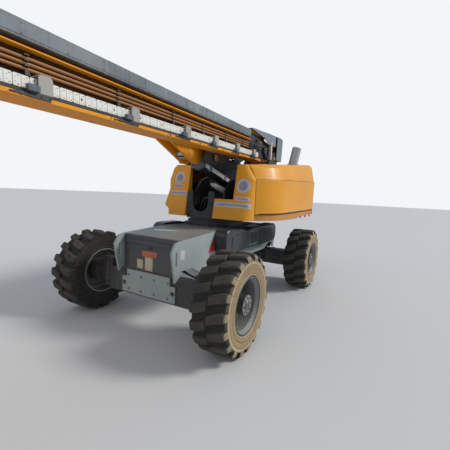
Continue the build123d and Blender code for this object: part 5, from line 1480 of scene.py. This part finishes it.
def console_guard():
    """Bent tube guards over both ends of the console, and the lines that leave it."""
    form = Form()
    for side in (1, -1):
        low = Vector((CONSOLE_LOW.x + 0.020, side * 0.300, CONSOLE_HIGH.z - 0.128))
        high = Vector((CONSOLE_HIGH.x - 0.060, side * 0.300, CONSOLE_HIGH.z - 0.020))
        inward = Vector((0, side * 0.026, 0))
        for start, end in ((low, high), (low - inward, low), (high - inward, high)):
            form.bar(start, end, 0.009)
    piece("console_guards", "platform", PLATFORM_PAINT, form)
    routes = []
    for y in (-0.090, -0.030, 0.030, 0.090):
        foot = Vector((CONSOLE_LOW.x + 0.090, y, CONSOLE_LOW.z + 0.004))
        routes.append([foot, foot - Vector((0, 0, 0.16)), foot - Vector((-0.05, y * 0.5, 0.40)),
                       Vector((CONSOLE_HIGH.x - 0.006, y * 0.5, DECK_Z + 0.20)),
                       Vector((CONSOLE_HIGH.x - 0.004, y * 0.5, DECK_Z + 0.001))])
    bent_lines("console_lines", "platform", routes, 0.0085)


def floor_tread():
    """Raised bars of the floor's tread plate, in crossed pairs."""
    form = Form()
    bar = [(-0.0045, -0.016), (0, -0.021), (0.0045, -0.016), (0.0045, 0.016), (0, 0.021), (-0.0045, 0.016)]
    step, half = 0.075, RAIL_HIGH.y - 0.060
    rows = int((RAIL_HIGH.x - RAIL_LOW.x - 0.14) / step)
    columns = int(2 * half / step)
    for i in range(rows):
        for j in range(columns):
            point = (RAIL_LOW.x + 0.085 + i * step, -half + (j + 0.5) * step, DECK_Z)
            lean = (1, 1, 0) if (i + j) % 2 else (1, -1, 0)
            form.plate(bar, upright(point, (0, 0, 1), lean), 0.0022, 0.0011)
    piece("floor_tread", "platform", PLATFORM_PAINT, form)


def foot_switch():
    """Pedal on its base plate, under a guard that is open to the rear."""
    body, pedal = Form(), Form()
    x, y = CONSOLE_LOW.x, 0.10
    body.box(upright((x - 0.06, y, DECK_Z + 0.002), (0, 0, 1), (1, 0, 0)), 0.150, 0.230, 0.020, 0.004, 0.018)
    cheek = [(-0.110, 0.0), (0.110, 0.0), (0.110, 0.105), (0.060, 0.128), (-0.020, 0.120)]
    for side in (-1, 1):
        body.plate(cheek, side_place(1, x - 0.06, y + side * 0.070, DECK_Z + 0.018), 0.005, 0.0015)
    roof = upright((x + 0.020, y, DECK_Z + 0.136), (-0.25, 0, 1), (1, 0, 0.25))
    body.box(roof, 0.146, 0.075, 0.005, 0.0015, 0.008)
    tread = upright((x - 0.065, y, DECK_Z + 0.030), (-0.28, 0, 1), (1, 0, 0.28))
    pedal.box(tread, 0.100, 0.150, 0.010, 0.003, 0.014)
    for i in range(7):
        pedal.box(shifted(tread, 0, -0.057 + 0.019 * i, 0.009), 0.084, 0.007, 0.0035, 0.001, 0.003)
    piece("foot_switch", "platform", DARK_PAINT, body)
    piece("foot_pedal", "platform", LATCH_PLASTIC, pedal)


def rail_fittings():
    """Lanyard rings, bolts of the kick plates, a box for papers and blank sign plates."""
    rings, bolts, papers, signs = Form(), Form(), Form(), Form()
    inner_rear, inner_front = RAIL_LOW.x + RAIL_TUBE, RAIL_HIGH.x - RAIL_TUBE
    angles = [pi * (1.06 + k * 0.88 / 12) for k in range(13)]
    arc = [(0.020 * cos(a), -0.018 + 0.026 * sin(a)) for a in angles]
    # The ring at 0.25 m keeps clear of the gate's swing.
    for x, facing, y in ((inner_rear, 1, -0.80), (inner_rear, 1, 0.25),
                         (inner_front, -1, -0.80), (inner_front, -1, 0.80)):
        place = upright((x, y, DECK_Z + 0.569), (facing, 0, 0))
        rings.box(place, 0.062, 0.034, 0.006, 0.0015, 0.006)
        for (u0, v0), (u1, v1) in zip(arc, arc[1:]):
            rings.bar(place @ Vector((u0, v0, 0.0105)), place @ Vector((u1, v1, 0.0105)), 0.0052, 8, 0.001)
        for u in (-0.023, 0.023):
            bolts.bolt(shifted(place, u, 0.004, 0.0055), 0.007)
    for x, facing in ((RAIL_LOW.x + 0.006, 1), (RAIL_HIGH.x - 0.006, -1)):
        for y in (-1.05, -0.70, -0.35, 0.35, 0.70, 1.05):
            bolts.bolt(upright((x, y, DECK_Z + 0.100), (facing, 0, 0)), 0.008)
    case = upright((inner_rear, -0.95, DECK_Z + 0.50))
    papers.box(case, 0.30, 0.24, 0.060, 0.006, 0.020)
    papers.box(shifted(case, 0, 0.098, 0.003), 0.31, 0.060, 0.066, 0.006, 0.020)
    papers.box(shifted(case, 0, 0.064, 0.064), 0.050, 0.034, 0.008, 0.003, 0.008)
    for y in (-0.75, 0.75):
        place = upright((inner_front, y, RAIL_HIGH.z - 0.019), (-1, 0, 0))
        signs.box(place, 0.26, 0.030, 0.0022, 0.0008, 0.006)
    rear = upright((RAIL_LOW.x, 0.78, DECK_Z + 0.075), (-1, 0, 0))
    signs.box(rear, 0.30, 0.085, 0.0022, 0.0008, 0.010)
    piece("lanyard_rings", "platform", STEEL_BOLT, rings)
    piece("rail_bolts", "platform", STEEL_BOLT, bolts)
    piece("paper_box", "platform", TANK_PLASTIC, papers)
    piece("blank_signs", "platform", PALE_FILM, signs)


def gate_latch():
    """Latch with its handle at the gate's free edge, and rubber stops on its post."""
    latch, stops = Form(), Form()
    place = side_place(1, GATE_HIGH.x - 0.062, GATE_HIGH.y, (GATE_LOW.z + GATE_HIGH.z) / 2 + 0.012)
    latch.box(place, 0.070, 0.078, 0.004, 0.0015, 0.010)
    latch.turned([(0.003, 0.012), (0.020, 0.012), (0.022, 0.010)], place, 20)
    latch.box(shifted(place, -0.034, 0, 0.018), 0.108, 0.022, 0.008, 0.003, 0.009)
    for u in (-0.024, 0.024):
        latch.bolt(shifted(place, u, 0.028, 0.0035), 0.006)
    for z in (GATE_LOW.z + 0.040, GATE_HIGH.z - 0.040):
        stop = upright((GATE_HIGH.x - 0.001, (GATE_LOW.y + GATE_HIGH.y) / 2, z))
        stops.turned([(-0.001, 0.0105), (0.004, 0.0105), (0.006, 0.007)], stop, 16)
    piece("gate_latch", "gate", STEEL_BOLT, latch)
    piece("gate_stops", "gate", SEAL_RUBBER, stops)


def pin_heads():
    """Round keepers with their bolts over every pin of the jib, on the body that carries the pin."""
    link_foot = joint_at("jib_link_hinge")
    link_end = ARM_END + link_foot - ARM_FOOT
    pins = [("jib_foot", 0.029, [joint_at("platform_level")]), ("jib_arm", 0.021, [ARM_FOOT, ARM_END]),
            ("jib_link", 0.021, [link_foot, link_end])]
    for body, radius, points in pins:
        form = Form()
        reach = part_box(body)[1].y
        for point in points:
            for side in (1, -1):
                place = side_place(side, point.x, reach, point.z)
                form.turned([(-0.001, radius), (0.004, radius), (0.006, radius - 0.003)], place, 26)
                form.bolt(shifted(place, 0, 0, 0.005), 0.010)
        piece(f"{body}_pin_heads", body, STEEL_BOLT, form)


def on_arm(along, across, above):
    """A point of the jib arm, in metres along it from its pin, to the left and above its middle line."""
    return ARM_FOOT + ARM_RUN * along + Vector((0, across, 0)) + ABOVE_ARM * above


def jib_details():
    """Four lines in clamps on top of the jib arm, and blank plates on its sides."""
    clamps, steel, plates = Form(), Form(), Form()
    routes = []
    for y in (-0.036, -0.012, 0.012, 0.036):
        points = [(0.150, 0.040), (0.165, ARM_TOP + 0.014), (0.22, ARM_TOP + 0.012), (1.0, ARM_TOP + 0.012),
                  (1.78, ARM_TOP + 0.012), (1.835, ARM_TOP + 0.014), (1.85, 0.040)]
        routes.append([on_arm(along, y, above) for along, above in points])
    for along in (0.28, 0.64, 1.00, 1.36, 1.72):
        place = plane(ARM_RUN, (0, 1, 0), ABOVE_ARM, on_arm(along, 0, ARM_TOP))
        clamps.box(place, 0.030, 0.112, 0.024, 0.003, 0.008)
        for across in (-0.049, 0.049):
            steel.bolt(shifted(place, 0, across, 0.0235), 0.006)
    for side in (1, -1):
        place = plane(ARM_RUN, ABOVE_ARM, (0, side, 0), on_arm(1.25, side * ARM_HALF, 0))
        plates.box(place, 0.24, 0.050, 0.0015, 0.0005, 0.008)
    bent_lines("jib_lines", "jib_arm", routes, 0.0085)
    piece("jib_clamps", "jib_arm", CLAMP_PLASTIC, clamps)
    piece("jib_clamp_bolts", "jib_arm", STEEL_BOLT, steel)
    piece("jib_labels", "jib_arm", PALE_FILM, plates)


def rotator_details():
    """Bolts on the rotator's cheeks, seal rings round its tube and grease points."""
    steel, seals = Form(), Form()
    axle_x = joint_at("platform_rotation").x
    low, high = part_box("platform_support")
    for side in (1, -1):
        for x in (-0.140, -0.095):
            for z in (low.z + 0.040, low.z + 0.110, high.z - 0.110, high.z - 0.040):
                steel.bolt(side_place(side, axle_x + x, high.y, z), 0.009)
    for z in (low.z + 0.012, high.z - 0.034):
        ring = Matrix.Translation((axle_x, 0, z))
        seals.turned([(0.0, 0.0735), (0.002, 0.0775), (0.020, 0.0775), (0.022, 0.0735)], ring, 40)
    nipple = [(-0.001, 0.006), (0.004, 0.006), (0.005, 0.004), (0.009, 0.0036), (0.011, 0.0022)]
    for z in (low.z + 0.070, high.z - 0.070):
        steel.turned(nipple, upright((axle_x + 0.0745, 0, z)), 12)
    piece("rotator_bolts", "platform_support", STEEL_BOLT, steel)
    piece("rotator_seals", "platform_support", SEAL_RUBBER, seals)


def length_switch():
    """Box of the length switch on the middle section, behind the section's collar."""
    box, screws = Form(), Form()
    place = boom_place(MID_END - 0.23, MID_SIDE, 0.223)
    box.box(place, 0.120, 0.080, 0.012, 0.003, 0.010)
    box.turned([(0.0115, 0.014), (0.0135, 0.014), (0.0145, 0.011)], place, 20)
    for u in (-0.048, 0.048):
        for v in (-0.028, 0.028):
            screws.bolt(shifted(place, u, v, 0.0115), 0.005)
    piece("switch_box", "boom_mid", LATCH_PLASTIC, box)
    piece("switch_screws", "boom_mid", STEEL_BOLT, screws)


console_controls()
console_guard()
floor_tread()
foot_switch()
rail_fittings()
gate_latch()
pin_heads()
jib_details()
rotator_details()
length_switch()


# Floor, light and the camera at the photograph's place

def stage_floor():
    """Plain pale floor, far larger than the machine."""
    mesh = bpy.data.meshes.new("floor")
    half = 120.0
    corners = [(-half, -half, 0), (half, -half, 0), (half, half, 0), (-half, half, 0)]
    mesh.from_pydata(corners, [], [(0, 1, 2, 3)])
    mesh.materials.append(Finish("pale_floor").surface(tint(206, 204, 200), 0.85))
    floor = bpy.data.objects.new("floor", mesh)
    bpy.context.scene.collection.objects.link(floor)


def stage_light():
    """Soft light all round, seen whiter than it shines, a low sun on the left and a weak one opposite."""
    world = bpy.data.worlds.new("studio")
    bpy.context.scene.world = world
    world.use_nodes = True
    tree = world.node_tree
    tree.nodes.clear()
    path = tree.nodes.new("ShaderNodeLightPath")
    tones = tree.nodes.new("ShaderNodeMix")
    tones.data_type = "RGBA"
    tones.inputs[6].default_value = (0.40, 0.45, 0.53, 1.0)
    tones.inputs[7].default_value = (0.90, 0.92, 0.95, 1.0)
    tree.links.new(path.outputs["Is Camera Ray"], tones.inputs[0])
    back = tree.nodes.new("ShaderNodeBackground")
    tree.links.new(tones.outputs[2], back.inputs["Color"])
    end = tree.nodes.new("ShaderNodeOutputWorld")
    tree.links.new(back.outputs[0], end.inputs["Surface"])
    for name, toward, power, spread in [("key", (-0.42, 0.70, 0.58), 2.15, 0.25),
                                        ("fill", (0.7, -0.3, 0.65), 0.3, 0.9)]:
        lamp = bpy.data.lights.new(name, "SUN")
        lamp.energy, lamp.angle = power, spread
        obj = bpy.data.objects.new(name, lamp)
        obj.rotation_mode = "QUATERNION"
        obj.rotation_quaternion = Vector(toward).to_track_quat("Z", "Y")
        bpy.context.scene.collection.objects.link(obj)


def stage_camera():
    """Camera where the photograph's was, fitted to the wheels and the lines of the chassis and the boom."""
    yaw, pitch, roll = 0.5065, 0.1051, 0.0485
    ahead = Vector((-cos(yaw) * cos(pitch), -sin(yaw) * cos(pitch), -sin(pitch)))
    level = ahead.cross(Vector((0, 0, 1))).normalized()
    top = level.cross(ahead)
    right = level * cos(roll) + top * sin(roll)
    up = top * cos(roll) - level * sin(roll)
    data = bpy.data.cameras.new("camera")
    data.sensor_width, data.lens = 36.0, 23.295
    data.clip_start, data.clip_end = 0.05, 300.0
    camera = bpy.data.objects.new("camera", data)
    place = spot(3.9059, 2.3424, 1.5958)
    camera.matrix_world = plane(right, up, -ahead, place)
    bpy.context.scene.collection.objects.link(camera)
    bpy.context.scene.camera = camera


stage_floor()
stage_light()
stage_camera()
bpy.context.scene.view_settings.view_transform = "Standard"
